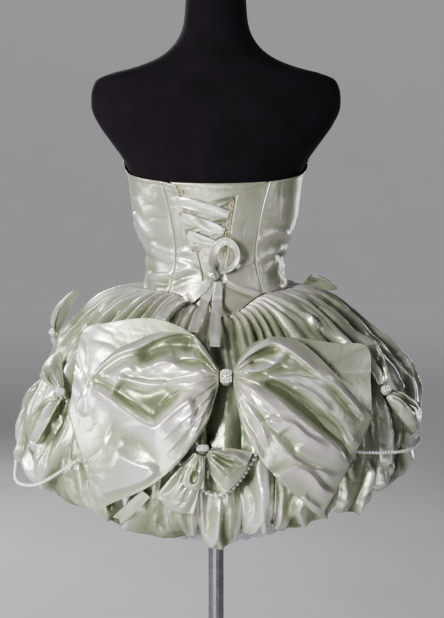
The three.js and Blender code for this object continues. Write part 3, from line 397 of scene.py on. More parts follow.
def satin(name, deep, middle, light, roughness, wrinkle):
    """Shiny satin with a soft pale sheen, with light and shade painted into its colour: darker in its
    folds as painted shade, lighter and lilac-white on their tops as a painted highlight.

    Wrinkle is the depth of its small wrinkles, where 1 is a very creased cloth.
    """
    material, nodes, links, shader = new_material(name)
    # The attribute read here picks the painted shade colour in the folds, the middle colour, and the
    # painted highlight colour on the crests.
    painted_shading = nodes.new("ShaderNodeAttribute")
    painted_shading.attribute_name = "painted_shading"
    by_fold = ramp(nodes, links, painted_shading.outputs["Fac"], [(0.05, deep), (0.5, middle), (0.95, light)])
    patches = texture(nodes, links, "ShaderNodeTexNoise", 16, 3)
    tone = ramp(nodes, links, patches, [(0.3, (0.84, 0.86, 0.83)), (0.7, (1.0, 1.0, 1.0))])
    threads = texture(nodes, links, "ShaderNodeTexNoise", 900, 2)
    thread_tone = ramp(nodes, links, threads, [(0.3, (0.93, 0.93, 0.93)), (0.7, (1.0, 1.0, 1.0))])
    colour = multiply(nodes, links, multiply(nodes, links, by_fold, tone), thread_tone)
    links.new(colour, shader.inputs["Base Color"])
    vary_roughness(nodes, links, shader, patches, roughness - 0.06, roughness + 0.08)
    shader.inputs["Metallic"].default_value = 0.52
    shader.inputs["Specular IOR Level"].default_value = 0.75
    shader.inputs["Specular Tint"].default_value = (1.0, 0.97, 1.0, 1)
    shader.inputs["Sheen Weight"].default_value = 0.16
    shader.inputs["Sheen Roughness"].default_value = 0.35
    shader.inputs["Sheen Tint"].default_value = (0.92, 0.88, 1.0, 1)
    soft = texture(nodes, links, "ShaderNodeTexNoise", 38, 4, 1.2)
    fine = texture(nodes, links, "ShaderNodeTexNoise", 150, 3, 0.6)
    weave = texture(nodes, links, "ShaderNodeTexWave", 420, 1, 0.3)
    layers = [(soft, 3.0 * wrinkle, 0.9), (fine, 0.5 * wrinkle, 0.8), (weave, 0.05, 0.35)]
    bumps(nodes, links, shader, layers)
    return material


def plain_cloth(name, dark, light, roughness, sheen, grain, depth):
    """Matt cloth with a fine grain, such as velvet, lining or lace thread."""
    material, nodes, links, shader = new_material(name)
    patches = texture(nodes, links, "ShaderNodeTexNoise", 22, 4)
    threads = texture(nodes, links, "ShaderNodeTexNoise", grain, 3)
    colour = ramp(nodes, links, patches, [(0.3, dark), (0.7, light)])
    fleck = ramp(nodes, links, threads, [(0.25, (0.8, 0.8, 0.8)), (0.75, (1.0, 1.0, 1.0))])
    links.new(multiply(nodes, links, colour, fleck), shader.inputs["Base Color"])
    shader.inputs["Roughness"].default_value = roughness
    shader.inputs["Sheen Weight"].default_value = sheen
    shader.inputs["Sheen Roughness"].default_value = 0.4
    shader.inputs["Specular IOR Level"].default_value = 0.25
    bumps(nodes, links, shader, [(patches, 0.6, 0.3), (threads, depth, 0.6)])
    return material


def bead_material():
    material, nodes, links, shader = new_material("bead")
    lustre = texture(nodes, links, "ShaderNodeTexNoise", 210, 2)
    stops = [(0.3, (0.78, 0.76, 0.86)), (0.5, (0.93, 0.91, 0.92)), (0.7, (0.98, 0.95, 0.88))]
    links.new(ramp(nodes, links, lustre, stops), shader.inputs["Base Color"])
    shader.inputs["Roughness"].default_value = 0.16
    shader.inputs["Coat Weight"].default_value = 0.6
    shader.inputs["Coat Roughness"].default_value = 0.06
    bumps(nodes, links, shader, [(lustre, 0.08, 0.3)])
    return material


def steel_material(name, dark, light, roughness):
    material, nodes, links, shader = new_material(name)
    brushed = texture(nodes, links, "ShaderNodeTexNoise", 60, 5, 2.0)
    fine = texture(nodes, links, "ShaderNodeTexNoise", 900, 2)
    links.new(ramp(nodes, links, brushed, [(0.3, dark), (0.7, light)]), shader.inputs["Base Color"])
    shader.inputs["Metallic"].default_value = 1.0
    vary_roughness(nodes, links, shader, brushed, roughness - 0.06, roughness + 0.12)
    bumps(nodes, links, shader, [(fine, 0.03, 0.4)])
    return material


# Each satin's colours: painted shade in its folds, its middle colour, and a painted highlight on its
# crests.
BODICE_SATIN = satin("bodice_satin", (0.26, 0.29, 0.2), (0.52, 0.54, 0.43), (0.74, 0.72, 0.68), 0.29, 0.3)
SKIRT_SATIN = satin("skirt_satin", (0.18, 0.21, 0.13), (0.52, 0.55, 0.42), (0.82, 0.8, 0.79), 0.27, 0.5)
BOW_SATIN = satin("bow_satin", (0.28, 0.32, 0.21), (0.58, 0.61, 0.48), (0.85, 0.82, 0.81), 0.28, 0.25)
RIBBON_SATIN = satin("ribbon_satin", (0.22, 0.25, 0.17), (0.53, 0.56, 0.45), (0.8, 0.78, 0.77), 0.26, 0.2)
LINING = plain_cloth("lining", (0.4, 0.45, 0.36), (0.48, 0.53, 0.44), 0.6, 0.1, 1200, 0.08)
LACE = plain_cloth("lace", (0.46, 0.42, 0.55), (0.66, 0.62, 0.74), 0.7, 0.3, 1500, 0.1)
PIPING = plain_cloth("piping", (0.62, 0.52, 0.32), (0.78, 0.7, 0.52), 0.45, 0.2, 1600, 0.15)
THREAD = plain_cloth("thread", (0.5, 0.53, 0.44), (0.62, 0.64, 0.56), 0.6, 0.1, 2400, 0.05)
VELVET = plain_cloth("velvet", (0.006, 0.004, 0.007), (0.011, 0.008, 0.013), 0.95, 0.03, 1500, 0.25)
BEAD = bead_material()
STEEL = steel_material("steel", (0.26, 0.26, 0.28), (0.36, 0.36, 0.38), 0.34)


# Shape of the dress form and of the skirt, as in the part

FORM = table(
    "z width back front",
    (760, 154, 104, 92),
    (810, 160, 115, 98),
    (850, 157, 115, 98),
    (890, 147, 110, 96),
    (925, 134, 100, 93),
    (955, 124, 90, 88),
    (982, 117, 83, 84),
    (1000, 114, 79, 82),
    (1040, 110, 75, 80),
    (1058, 112, 76, 82),
    (1078, 119, 78, 87),
    (1100, 127, 81, 93),
    (1125, 132, 83, 100),
    (1150, 135, 85, 104),
    (1178, 139, 87, 104),
    (1205, 150, 87, 97),
    (1232, 169, 83, 82),
    (1262, 190, 75, 65),
    (1292, 202, 66, 54),
    (1333, 194, 54, 44),
    (1345, 168, 51, 42),
    (1354, 132, 50, 43),
    (1369, 94, 51, 46),
    (1390, 68, 52, 47),
    (1420, 53, 50, 45),
    (1484, 46, 46, 43),
    (1494, 38, 38, 35),
)
BUST = {"angle": 30, "spread": 24, "height": 1172, "reach": 46, "rise": 12}
WAIST_SEAM = table(
    "angle z",
    (0, 957), (16, 968), (34, 986), (50, 995), (90, 995),
    (130, 992), (150, 984), (165, 966), (180, 950),
)
TOP_EDGE = table(
    "angle z",
    (0, 1172), (45, 1174), (72, 1180), (86, 1188), (98, 1205),
    (112, 1209), (132, 1214), (150, 1222), (166, 1212), (180, 1188),
)
# Degrees by which the seam's back point lies to one side
SEAM_POINT_SHIFT = 8
# Drop of the top edge towards each placket
TOP_DROP = {"left": 4, "right": 19}
# Angles of the seams in the form's cover
FORM_SEAMS = (0, 52, -52, 97, -97, 150, -150, 180)
# Arcs are cut short of a right angle, where x alone no longer tells the angle
WIDEST = 0.98

form_width = column(FORM, "z", "width")
form_back = column(FORM, "z", "back")
form_front = column(FORM, "z", "front")
seam_curve = column(WAIST_SEAM, "angle", "z")
top_curve = column(TOP_EDGE, "angle", "z")


def form_radius(angle, z):
    """Radius of the form: two half ellipses, back and front, with the bust on the front."""
    depth = np.where(np.cos(angle) > 0, form_back(z), form_front(z))
    plain = 1 / np.hypot(np.sin(angle) / form_width(z), np.cos(angle) / depth)
    from_front = np.abs(math.pi - np.abs(angle)) / DEGREE
    sideways = (from_front - BUST["angle"]) / BUST["spread"]
    upwards = (z - BUST["height"]) / BUST["reach"]
    return plain + BUST["rise"] * np.exp(-(sideways**2) - upwards**2)


def waist_seam(angle):
    degrees = angle / DEGREE
    back_share = np.maximum(0, 1 - np.abs(degrees) / 90)
    return seam_curve(np.abs(degrees + SEAM_POINT_SHIFT * back_share))


def top_edge(angle):
    return top_curve(np.abs(angle / DEGREE))


# Angle in degrees of each bodice seam by the share of the way up from the waist
SEAMS = {
    "placket_left": lambda v: mix(7, 38, v),
    "placket_right": lambda v: mix(-3, -21, v),
    "back": lambda v: 50 - 7 * np.sin(math.pi * v),
    "side": lambda v: 97 + 0 * v,
    "front": lambda v: 152 + 6 * np.sin(math.pi * v) - 4 * v,
}


def bodice_point(angle, share, offset, drop=0.0):
    z = mix(waist_seam(angle), top_edge(angle) - drop, share)
    return around(angle, form_radius(angle, z) + offset, z)


def back_angle(x, z):
    """The angle at which the form's back has this x at this height."""
    angle = np.zeros(np.broadcast(x, z).shape)
    for _ in range(12):
        angle = np.arcsin(np.clip(x / form_radius(angle, z), -WIDEST, WIDEST))
    return angle


def back_point(x, z, offset):
    angle = back_angle(x, z)
    return around(angle, form_radius(angle, z) + offset, z)


# Rows follow the cloth from the waist seam out, down and under to its hem
SKIRT = table(
    "row side back front side_z back_z front_z",
    (0, 121, 88, 86, 994, 956, 949),
    (1, 138, 103, 101, 999, 961, 954),
    (2, 167, 132, 130, 1000, 964, 957),
    (3, 206, 169, 163, 986, 954, 951),
    (4, 250, 208, 200, 951, 930, 930),
    (5, 288, 240, 230, 905, 893, 892),
    (6, 315, 265, 252, 855, 845, 848),
    (7, 331, 282, 266, 803, 792, 800),
    (8, 338, 290, 272, 757, 740, 757),
    (9, 337, 290, 272, 725, 697, 725),
    (10, 326, 284, 264, 703, 663, 703),
    (11, 307, 270, 249, 693, 643, 693),
    (12, 284, 252, 231, 696, 641, 696),
    (13, 265, 237, 218, 710, 655, 710),
    (14, 254, 227, 209, 728, 676, 728),
)
SKIRT_SEAM_DROP = 1.9
SKIRT_SEAM_OFFSET = 4.3
# Places where the skirt stands out or lies in
BULGES = table(
    "angle spread z reach out",
    (-88, 32, 868, 62, 26),
    (-100, 26, 790, 40, 10),
    (92, 34, 868, 52, -15),
    (40, 24, 720, 60, 5),
    (150, 26, 800, 70, 6),
)
# Each puff of the hem, by the angle where it ends and how far it sags
PUFFS = table(
    "end sag",
    (42, 7), (65, 2), (86, 0), (107, 4), (128, 1), (150, 3), (172, 0), (194, 5), (215, 1),
    (237, 4), (259, 0), (281, 3), (303, 2), (319, 8), (341, 2), (351.5, 0), (365.5, 15),
)
FIRST_NOTCH = 5.5

skirt_column = {name: column(SKIRT, "row", name) for name in SKIRT[0] if name != "row"}


def bulge(angle, z):
    out = 0
    for spot in BULGES:
        turn = half_turn(angle - spot["angle"] * DEGREE) / (spot["spread"] * DEGREE)
        lift = (z - spot["z"]) / spot["reach"]
        out = out + spot["out"] * np.exp(-(turn**2) - lift**2)
    return out


def envelope(angle, row):
    """Point of the skirt's smooth envelope at an angle and a row."""
    facing = np.cos(angle)
    depth = np.where(facing > 0, skirt_column["back"](row), skirt_column["front"](row))
    end = np.where(facing > 0, skirt_column["back_z"](row), skirt_column["front_z"](row))
    ellipse = 1 / np.hypot(np.sin(angle) / skirt_column["side"](row), facing / depth)
    level = mix(skirt_column["side_z"](row), end, facing * facing)
    seam = waist_seam(half_turn(angle))
    seam_share = 1 - smooth((row - 0.5) / 3.5)
    seam_lift = mix(-SKIRT_SEAM_DROP, 5, smooth(row / 1.2)) - 6 * smooth((row - 2) / 2)
    z = mix(level, seam + seam_lift, seam_share)
    waist = form_radius(half_turn(angle), seam) + SKIRT_SEAM_OFFSET
    return around(angle, mix(waist, ellipse + bulge(angle, level), smooth(row)), z)


def envelope_normal(angle, row):
    turn = 0.4 * DEGREE
    low = np.maximum(row - 0.05, 0)
    high = np.minimum(row + 0.05, SKIRT[-1]["row"])
    along = envelope(angle, high) - envelope(angle, low)
    across = envelope(angle + turn, row) - envelope(angle - turn, row)
    return unit(np.cross(across, along))


def row_at_height(angle, z, first, last):
    """The row at which the envelope comes down to a height."""
    low = np.full(np.broadcast(angle, z).shape, float(first))
    high = np.full(low.shape, float(last))
    for _ in range(20):
        middle = (low + high) / 2
        above = envelope(angle, middle)[..., 2] > z
        low = np.where(above, middle, low)
        high = np.where(above, high, middle)
    return low


class BackOfSkirt:
    """The y of the envelope's back by x and height, worked out once on a grid."""

    step = 6.0

    def __init__(self):
        self.x = np.arange(-294, 295, self.step)
        self.z = np.arange(640, 960, self.step)
        x, z = np.meshgrid(self.x, self.z, indexing="ij")
        angle = np.arcsin(np.clip(x / 290, -WIDEST, WIDEST))
        for _ in range(14):
            point = envelope(angle, row_at_height(angle, z, 2, 11))
            radius = np.hypot(point[..., 0], point[..., 1])
            angle = np.arcsin(np.clip(x / radius, -WIDEST, WIDEST))
        self.y = point[..., 1]

    def __call__(self, x, z):
        i = np.clip((x - self.x[0]) / self.step, 0, len(self.x) - 1.001)
        j = np.clip((z - self.z[0]) / self.step, 0, len(self.z) - 1.001)
        i0, j0 = np.floor(i).astype(int), np.floor(j).astype(int)
        u, v = i - i0, j - j0
        near = mix(self.y[i0, j0], self.y[i0, j0 + 1], v)
        far = mix(self.y[i0 + 1, j0], self.y[i0 + 1, j0 + 1], v)
        return mix(near, far, u)


skirt_back_y = BackOfSkirt()


def skirt_angle(x, row):
    """The angle at which the skirt's back has this x on this row."""
    angle = 0.0
    for _ in range(12):
        point = envelope(angle, row)
        radius = np.hypot(point[..., 0], point[..., 1])
        angle = np.arcsin(np.clip(x / radius, -WIDEST, WIDEST))
    return angle


def tree_of(obj):
    """A search tree of a mesh, in millimetres."""
    mesh = obj.data
    points = [vertex.co / MM for vertex in mesh.vertices]
    return BVHTree.FromPolygons(points, [tuple(face.vertices) for face in mesh.polygons])


# Dress form and stand


def build_form():
    angles = np.linspace(-math.pi, math.pi, 160, endpoint=False)
    heights = np.linspace(FORM[0]["z"], FORM[-1]["z"], 150)
    a, z = np.meshgrid(angles, heights, indexing="xy")
    radius = form_radius(a, z)
    seam = 0
    for degrees in FORM_SEAMS:
        away = np.abs(half_turn(a - degrees * DEGREE)) * radius
        seam = seam + 0.5 * hump(away, 0, 1.4)
    points = around(a, radius - seam, z)
    cap = []
    for share in (0.93, 0.8, 0.6, 0.35, 0.12):
        ring = points[-1] * (share, share, 1)
        ring[:, 2] = mix(FORM[-1]["z"], NECK_TOP, math.sqrt(1 - share**2))
        cap.append(ring)
    floor = []
    for share in (0.05, 0.4, 0.8, 0.97):
        floor.append(points[0] * (share, share, 1))
    rings = np.concatenate([np.array(floor), points, np.array(cap)])
    rows, columns = rings.shape[:2]
    faces = quads(rows, columns, True)[:, ::-1].tolist()
    faces.append(list(range(columns)))
    faces.append([(rows - 1) * columns + j for j in reversed(range(columns))])
    form = add_mesh("form_cover", rings, faces, VELVET)
    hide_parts("dress_form")
    for node in ("stand_base", "stand_pole"):
        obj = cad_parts[node]
        obj.data.materials.clear()
        obj.data.materials.append(STEEL)


# Bodice

# Pull folds as x and height. Those of the back follow the photo.
BACK_PULL_STRENGTH = 1.35
BACK_PULLS = table(
    "width height power path",
    (5, 3.2, 1.3, [(133, 1123), (116, 1098), (96, 1082)]),
    (5, 3.0, 1.3, [(134, 1108), (124, 1082), (104, 1062)]),
    (5, 2.0, 1.4, [(110, 1076), (76, 1061), (31, 1066)]),
    (5, 2.4, 1.3, [(112, 1064), (70, 1050), (25, 1038)]),
    (4, 2.6, 1.2, [(114, 1022), (80, 1024), (45, 1035), (20, 1034)]),
    (5, -1.6, 1.5, [(112, 1012), (83, 1008), (52, 1020), (24, 1030)]),
    (5, 1.8, 1.3, [(100, 998), (66, 1004), (40, 1018)]),
    (3.6, 2.6, 1.2, [(-4, 1026), (-36, 1007), (-80, 992)]),
    (3.6, -1.6, 1.5, [(-6, 1018), (-34, 1000), (-70, 984)]),
    (5, 2.4, 1.2, [(-30, 1040), (-79, 1054), (-112, 1070)]),
    (4, 1.8, 1.2, [(-58, 1042), (-78, 1030), (-100, 1052)]),
    (5, 2.6, 1.2, [(-64, 1080), (-97, 1092), (-122, 1084)]),
    (4, 2.2, 1.2, [(-74, 988), (-92, 1000), (-114, 1000)]),
    (6, -2.0, 1.6, [(-100, 1060), (-110, 1040), (-112, 1010)]),
    (6, 1.6, 1.5, [(130, 1150), (118, 1130), (110, 1110)]),
    (9, 1.0, 2, [(60, 1150), (70, 1110), (74, 1080)]),
    (8, 1.2, 1.6, [(-110, 1150), (-104, 1120), (-112, 1100)]),
)
FRONT_PULLS = table(
    "width height power path",
    (5, 1.8, 1.3, [(104, 1012), (62, 1026), (20, 1018)]),
    (5, 1.8, 1.3, [(-104, 1008), (-58, 1020), (-16, 1012)]),
    (6, 1.6, 1.3, [(118, 1080), (84, 1092), (52, 1118)]),
    (6, 1.6, 1.3, [(-118, 1076), (-86, 1094), (-50, 1112)]),
    (5, 1.4, 1.3, [(96, 1040), (60, 1046), (30, 1062)]),
    (5, 1.4, 1.3, [(-98, 1046), (-62, 1042), (-28, 1056)]),
    (7, 1.6, 1.5, [(40, 1170), (0, 1150), (-40, 1168)]),
)


def bodice_relief(points):
    """Pull folds and small wrinkles of the bodice, as height off its surface."""
    flat = points[..., [0, 2]]
    behind = smooth((points[..., 1] + 20) / 40)
    back = BACK_PULL_STRENGTH * creases(flat, BACK_PULLS) * behind
    pulls = back + creases(flat, FRONT_PULLS) * (1 - behind)
    side = smooth((np.abs(points[..., 0]) - 80) / 40)
    waist = hump(points[..., 2], 1035, 45)
    across = np.sin(points[..., 2] / 4.2 + 2.2 * noise(points, 40, 3))
    wrinkles = 1.1 * side * waist * across
    return pulls + wrinkles + 0.5 * crumple(points, 34, 11) + 0.25 * crumple(points, 14, 12)


PANEL_HEIGHT = 200
PLACKET_LENGTH = 205
PLACKET_RADIUS = 85


def seam_height(edge):
    """A seam's groove and the low ridge beside it, by the distance from the panel's edge."""
    return 0.14 * hump(edge, 3, 1.6) - 0.4 * hump(edge, 0, 1.1)


def bodice_panel(name, from_seam, to_seam, offset, thickness, columns, drops=(0, 0)):
    """One panel between two seams. Size, its cut's width and length in mm and its area in m2, is not
    used.
    """
    rows = 84
    share = np.linspace(0, 1, rows)[:, None]
    across = np.linspace(0, 1, columns)[None, :]
    gap = 0.2
    middle = half_turn((from_seam(share) + to_seam(share)) / 2 * DEGREE)
    trim = gap / form_radius(middle, mix(waist_seam(middle), top_edge(middle), share))
    angle = half_turn(mix(from_seam(share) * DEGREE + trim, to_seam(share) * DEGREE - trim, across))
    drop = mix(drops[0], drops[1], across)
    surface = bodice_point(angle, share + 0 * angle, offset + thickness, drop)
    radius = np.hypot(surface[..., 0], surface[..., 1])
    span = np.abs(to_seam(share) - from_seam(share)) * DEGREE * radius
    edge = np.minimum(across, 1 - across) * span
    from_top = (1 - share) * PANEL_HEIGHT + 0 * angle
    relief = bodice_relief(surface) * smooth(edge / 7) * smooth(from_top / 10)
    seam = seam_height(edge)
    stitch = -0.45 * hump(from_top, 8, 1.1)
    height = relief + seam + stitch
    points = surface + unit(surface * (1, 1, 0)) * (height - 0.5)[..., None]
    # Painted shading: darker in seams, stitch grooves and fold valleys as painted shade, lighter on the
    # folds' tops as a painted highlight.
    painted_shading = 0.55 + height / 5
    panel = add_grid(name, points, BODICE_SATIN, painted_shading=painted_shading, thickness=0.8, flip=True)
    return panel


def build_bodice():
    s = SEAMS

    def minus(seam):
        return lambda v: -seam(v)

    left, right = (TOP_DROP["left"], 0), (0, TOP_DROP["right"])
    panels = table(
        "name start end columns size drops",
        ("bodice_centre_back_left", s["placket_left"], s["back"], 40, (60, 210, 0.0075), left),
        ("bodice_centre_back_right", minus(s["back"]), s["placket_right"], 60, (75, 210, 0.0112), right),
        ("bodice_side_back_left", s["back"], s["side"], 60, (130, 210, 0.0215), (0, 0)),
        ("bodice_side_back_right", minus(s["side"]), minus(s["back"]), 60, (130, 210, 0.0215), (0, 0)),
        ("bodice_side_front_left", s["side"], s["front"], 64, (145, 230, 0.027), (0, 0)),
        ("bodice_side_front_right", minus(s["front"]), minus(s["side"]), 64, (145, 230, 0.027), (0, 0)),
        ("bodice_front", s["front"], lambda v: 360 - s["front"](v), 70, (115, 255, 0.0235), (0, 0)),
    )
    for row in panels:
        cloth = bodice_panel(
            row["name"] + "_cloth", row["start"], row["end"], BODICE_GAP, CLOTH,
            row["columns"], row["drops"],
        )
        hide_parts(row["name"])
    modesty = bodice_panel(
        "modesty_cloth",
        lambda v: s["placket_right"](v) - 6 - 22 * smooth((v - 0.7) / 0.3),
        lambda v: s["placket_left"](v) + 6,
        BODICE_GAP - THIN_CLOTH - 0.75, THIN_CLOTH * 0.6, 60,
    )
    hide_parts("modesty_panel")


def build_stitches():
    """Stitch lines along the plackets and the back seams, a thread's width above the cloth."""
    lines = table(
        "seam shift low high",
        (SEAMS["placket_left"], 1.6, 0.03, 0.97),
        (SEAMS["placket_left"], 3.4, 0.03, 0.97),
        (SEAMS["placket_right"], -1.6, 0.03, 0.87),
        (SEAMS["placket_right"], -3.2, 0.03, 0.87),
        (SEAMS["back"], -2.4, 0.02, 0.98),
        (lambda v: -SEAMS["back"](v), 2.4, 0.02, 0.98),
    )
    dash = 2.6
    pitch = 4.0
    parts = []
    for line in lines:
        seam, low, high = line["seam"], line["low"], line["high"]
        length = PLACKET_LENGTH * (high - low)
        for k in range(int(length / pitch)):
            share = low + (high - low) * (k * pitch + np.array([0, dash / 2, dash])) / length
            angle = seam(share) * DEGREE + line["shift"] / PLACKET_RADIUS
            surface = bodice_point(angle, share, BODICE_GAP + CLOTH)
            edge = abs(line["shift"])
            height = bodice_relief(surface) * smooth(edge / 7) + seam_height(edge) - 0.1
            path = surface + unit(surface * (1, 1, 0)) * height[:, None]
            parts.append(tube(path, 0.28, 5))
    points, faces = joined(parts)
    add_mesh("bodice_stitches", points, faces, THREAD)


# Skirt

GATHERS = 72
GATHER_STEPS = 12
SKIRT_ROWS = 108
SOFT_FOLDS = 33
# How deep the gathers, the soft folds and the notches between puffs are
DEPTHS = table(
    "row gather fold notch",
    (0, 0.8, 0, 0),
    (0.5, 3.2, 0, 0),
    (1, 5.5, 0, 0),
    (2, 8.0, 2, 0),
    (3, 6.5, 7, 0),
    (4, 3.6, 10, 0),
    (5, 1.6, 10, 1),
    (6, 0.6, 8.5, 5),
    (7, 0, 7, 10),
    (8, 0, 6, 17),
    (9, 0, 5, 24),
    (10, 0, 4, 30),
    (11, 0, 3, 31),
    (12, 0, 1.5, 24),
    (13, 0, 0.5, 10),
    (14, 0, 0, 0),
)
# Creases that rise from each notch of the hem, and the row where they start
FANS = 4
FAN_FOOT = 11.8
NOTCH_WIDTH = 2.6
# The cloth laid flat, in millimetres: its radius, and its length to a row
UNROLL_RADIUS = 300
ROW_PITCH = 40

# Folds of the back, which follow the photo, as angle and row
SKIRT_FOLDS = table(
    "width height lap path",
    (5, 9, 16, [(7, 6.4), (5, 8), (6.5, 9.4), (5.5, 11)]),
    (5, 7, 16, [(12, 6.8), (15, 8.4), (14, 10.4)]),
    (4, 7, 12, [(-3, 10.8), (-1, 9.4), (-2, 8.2)]),
    (4, 8, 12, [(-9, 7.8), (-8, 9.6), (-8.5, 11)]),
    (4, 8, 14, [(-18, 10.8), (-15, 9.4), (-17, 8)]),
    (6, 12, 24, [(66, 5.2), (69, 7), (64, 8.6), (65, 10.6)]),
    (5, 8, 18, [(64, 10.4), (56, 8.4), (50, 7)]),
    (6, 9, 26, [(80, 4.2), (75, 5.8), (78, 7.6)]),
    (5, 7, 20, [(56, 3.6), (59, 5.2), (54, 7)]),
    (5, 8, 16, [(88, 10.2), (80, 8.8), (74, 8.4)]),
    (6, 10, 24, [(-70, 4.4), (-75, 6), (-71, 7.8), (-74, 9.6)]),
    (5, 8, 16, [(-56, 10.6), (-62, 8.6), (-66, 7.4)]),
    (5, 8, 22, [(-48, 3), (-57, 4.4), (-62, 6)]),
    (6, 8, 24, [(-84, 3.8), (-82, 5.4), (-86, 7.2)]),
    (5, 8, 14, [(30, 8), (27, 9.2), (31, 10.8)]),
    (4, 6, 10, [(36, 10.8), (34, 9.6), (37, 8.4)]),
    (5, 8, 14, [(-30, 8.2), (-26, 9.4), (-31, 11)]),
    (4, 6, 10, [(-38, 10.8), (-35, 9.6), (-39, 8.6)]),
)
# Further folds of the same kind, scattered all round
FURTHER_FOLDS = 46


def further_folds():
    rows = []
    for k in range(FURTHER_FOLDS):
        at = 48 + 264 * (k + 0.5 * scatter(k, 1)) / FURTHER_FOLDS
        top = 3.6 + 4.6 * scatter(k, 2)
        length = 2 + 3 * scatter(k, 3)
        lean = 9 * (scatter(k, 4) - 0.5)
        path = [(at, top), (at + lean, top + length / 2), (at + 0.4 * lean, top + length)]
        if scatter(k, 5) < 0.5:
            path = path[::-1]
        height, lap = 5 + 6 * scatter(k, 6), 12 + 14 * scatter(k, 7)
        rows.append({"path": path, "width": 4 + 2 * scatter(k, 8), "height": height, "lap": lap})
    return rows


def notch_angles():
    return np.array([FIRST_NOTCH] + [puff["end"] for puff in PUFFS[:-1]])


def skirt_grid():
    columns = GATHERS * GATHER_STEPS
    angle = (FIRST_NOTCH * DEGREE + np.linspace(0, 2 * math.pi, columns, endpoint=False))[None, :]
    row = np.linspace(0, SKIRT[-1]["row"], SKIRT_ROWS)[:, None]
    angle, row = np.broadcast_arrays(angle, row)
    return angle, row


def fan_crease(near, row, number, place):
    """A crease that rises from a notch, by the degrees from the notch and its place in the fan."""
    lean = place * 5 + 4 * (scatter(number, 8) - 0.5)
    top = 4.8 + 3.2 * scatter(number, 9)
    share = np.clip((FAN_FOOT - row) / (FAN_FOOT - top), 0, 1)
    off = (near - place * 1.5 - lean * share**1.3) * DEGREE * UNROLL_RADIUS
    if place > 0:
        off = -off
    gentle = np.exp(-((off / (15 + 8 * scatter(number, 11))) ** 1.4))
    profile = np.where(off > 0, gentle, hump(off, 0, 5.5))
    size = 3.5 + 5 * scatter(number, 10)
    return size * inside(share, 0.15, 0.6) * profile


def placed_folds(angle, row):
    """The folds of the tables, on the cloth laid flat and open at the front."""
    unrolled = np.stack([half_turn(angle) * UNROLL_RADIUS, row * ROW_PITCH], -1)
    placed = 0
    for fold in SKIRT_FOLDS + further_folds():
        path = np.array(fold["path"], float)
        path[:, 0] = half_turn(path[:, 0] * DEGREE) * UNROLL_RADIUS
        path[:, 1] *= ROW_PITCH
        crosses_front = np.ptp(path[:, 0]) > UNROLL_RADIUS
        if not crosses_front:
            placed = placed + creases(unrolled, [{**fold, "path": path}])
    return placed


def skirt_relief(angle, row, base):
    """How far the cloth lies inside its envelope, in millimetres."""
    depth = {name: column(DEPTHS, "row", name)(row) for name in ("fold", "notch")}
    wander = np.stack([120 * np.sin(angle), 120 * np.cos(angle), row * 14], -1)
    phase = GATHERS * angle + 4.2 * noise(wander, 52, 21) + 2.1 * noise(wander, 21, 22)
    index = np.floor(phase / (2 * math.pi) + 0.5) % GATHERS
    ridge = (0.5 - 0.5 * np.cos(phase)) ** 0.6
    reach = mix(0.6, 2.1, scatter(index, 6))
    uneven = mix(0.15, 1.55, scatter(index, 5))
    gather = column(DEPTHS, "row", "gather")(row / reach) * (1 - ridge) * uneven

    drift = np.stack([300 * np.sin(angle), 300 * np.cos(angle), row * 34], -1)
    fold_phase = SOFT_FOLDS * angle + 2.6 * noise(drift, 130, 31) + 1.2 * noise(drift, 60, 32)
    hollow = (0.5 + 0.5 * np.cos(fold_phase)) ** 1.5
    strength = 0.45 + 0.55 * (0.5 + 0.5 * noise(drift, 90, 33))
    fold = depth["fold"] * hollow * strength

    notch = 0
    fans = 0
    for k, at in enumerate(notch_angles()):
        near = half_turn((angle / DEGREE - at) * DEGREE) / DEGREE
        notch = np.maximum(notch, np.exp(-np.abs(near) / NOTCH_WIDTH))
        for m in range(FANS):
            fans = fans + fan_crease(near, row, k * FANS + m, m - (FANS - 1) / 2)
    placed = placed_folds(angle, row)
    rough = smooth((row - 0.9) / 2.6) * smooth((13.5 - row) / 2)
    wrinkles = rough * (1.9 * (1 - crumple(base, 46, 41)) + 0.9 * (1 - crumple(base, 20, 42)))
    loose = gather + fold + wrinkles + rough * (8 - np.minimum(fans + placed, 16))
    return np.maximum(loose + depth["notch"] * notch, 0), loose


# The hem hangs lower than the part's by this, and its puffs sag by this share more
HEM_SAG = 4
HEM_SAG_SHARE = 1.3


def sag_of(angle):
    """How far the puff at an angle sags."""
    degrees = (angle / DEGREE - FIRST_NOTCH) % 360 + FIRST_NOTCH
    sag = np.zeros_like(degrees)
    start = FIRST_NOTCH
    for puff in PUFFS:
        within = (degrees >= start) & (degrees < puff["end"])
        share = (degrees - start) / (puff["end"] - start)
        sag = np.where(within, puff["sag"] * np.sin(math.pi * share), sag)
        start = puff["end"]
    return sag


def keep_under(points, normals, pieces, clearance, reach):
    """Presses the cloth in where a piece that lies on it would cut into it."""
    push = np.zeros(points.shape[:-1])
    for piece in pieces:
        tree = tree_of(piece)
        corners = np.array([vertex.co for vertex in piece.data.vertices]) / MM
        low, high = corners.min(0) - 6, corners.max(0) + 6
        near = np.all((points > low) & (points < high), axis=-1)
        for index in zip(*np.nonzero(near)):
            point, normal = points[index], normals[index]
            start = point - normal * reach
            hit = tree.ray_cast(Vector(start), Vector(normal), reach + clearance)
            if hit[0] is not None:
                push[index] = max(push[index], reach + clearance - hit[3])
    wide = push.copy()
    for _ in range(3):
        for axis in (0, 1):
            wide = np.maximum(wide, np.maximum(np.roll(wide, 1, axis), np.roll(wide, -1, axis)))
    for _ in range(3):
        for axis in (0, 1):
            wide = (wide + np.roll(wide, 1, axis) + np.roll(wide, -1, axis)) / 3
    wide[:2] = 0
    wide[-2:] = 0
    return np.maximum(wide, push)


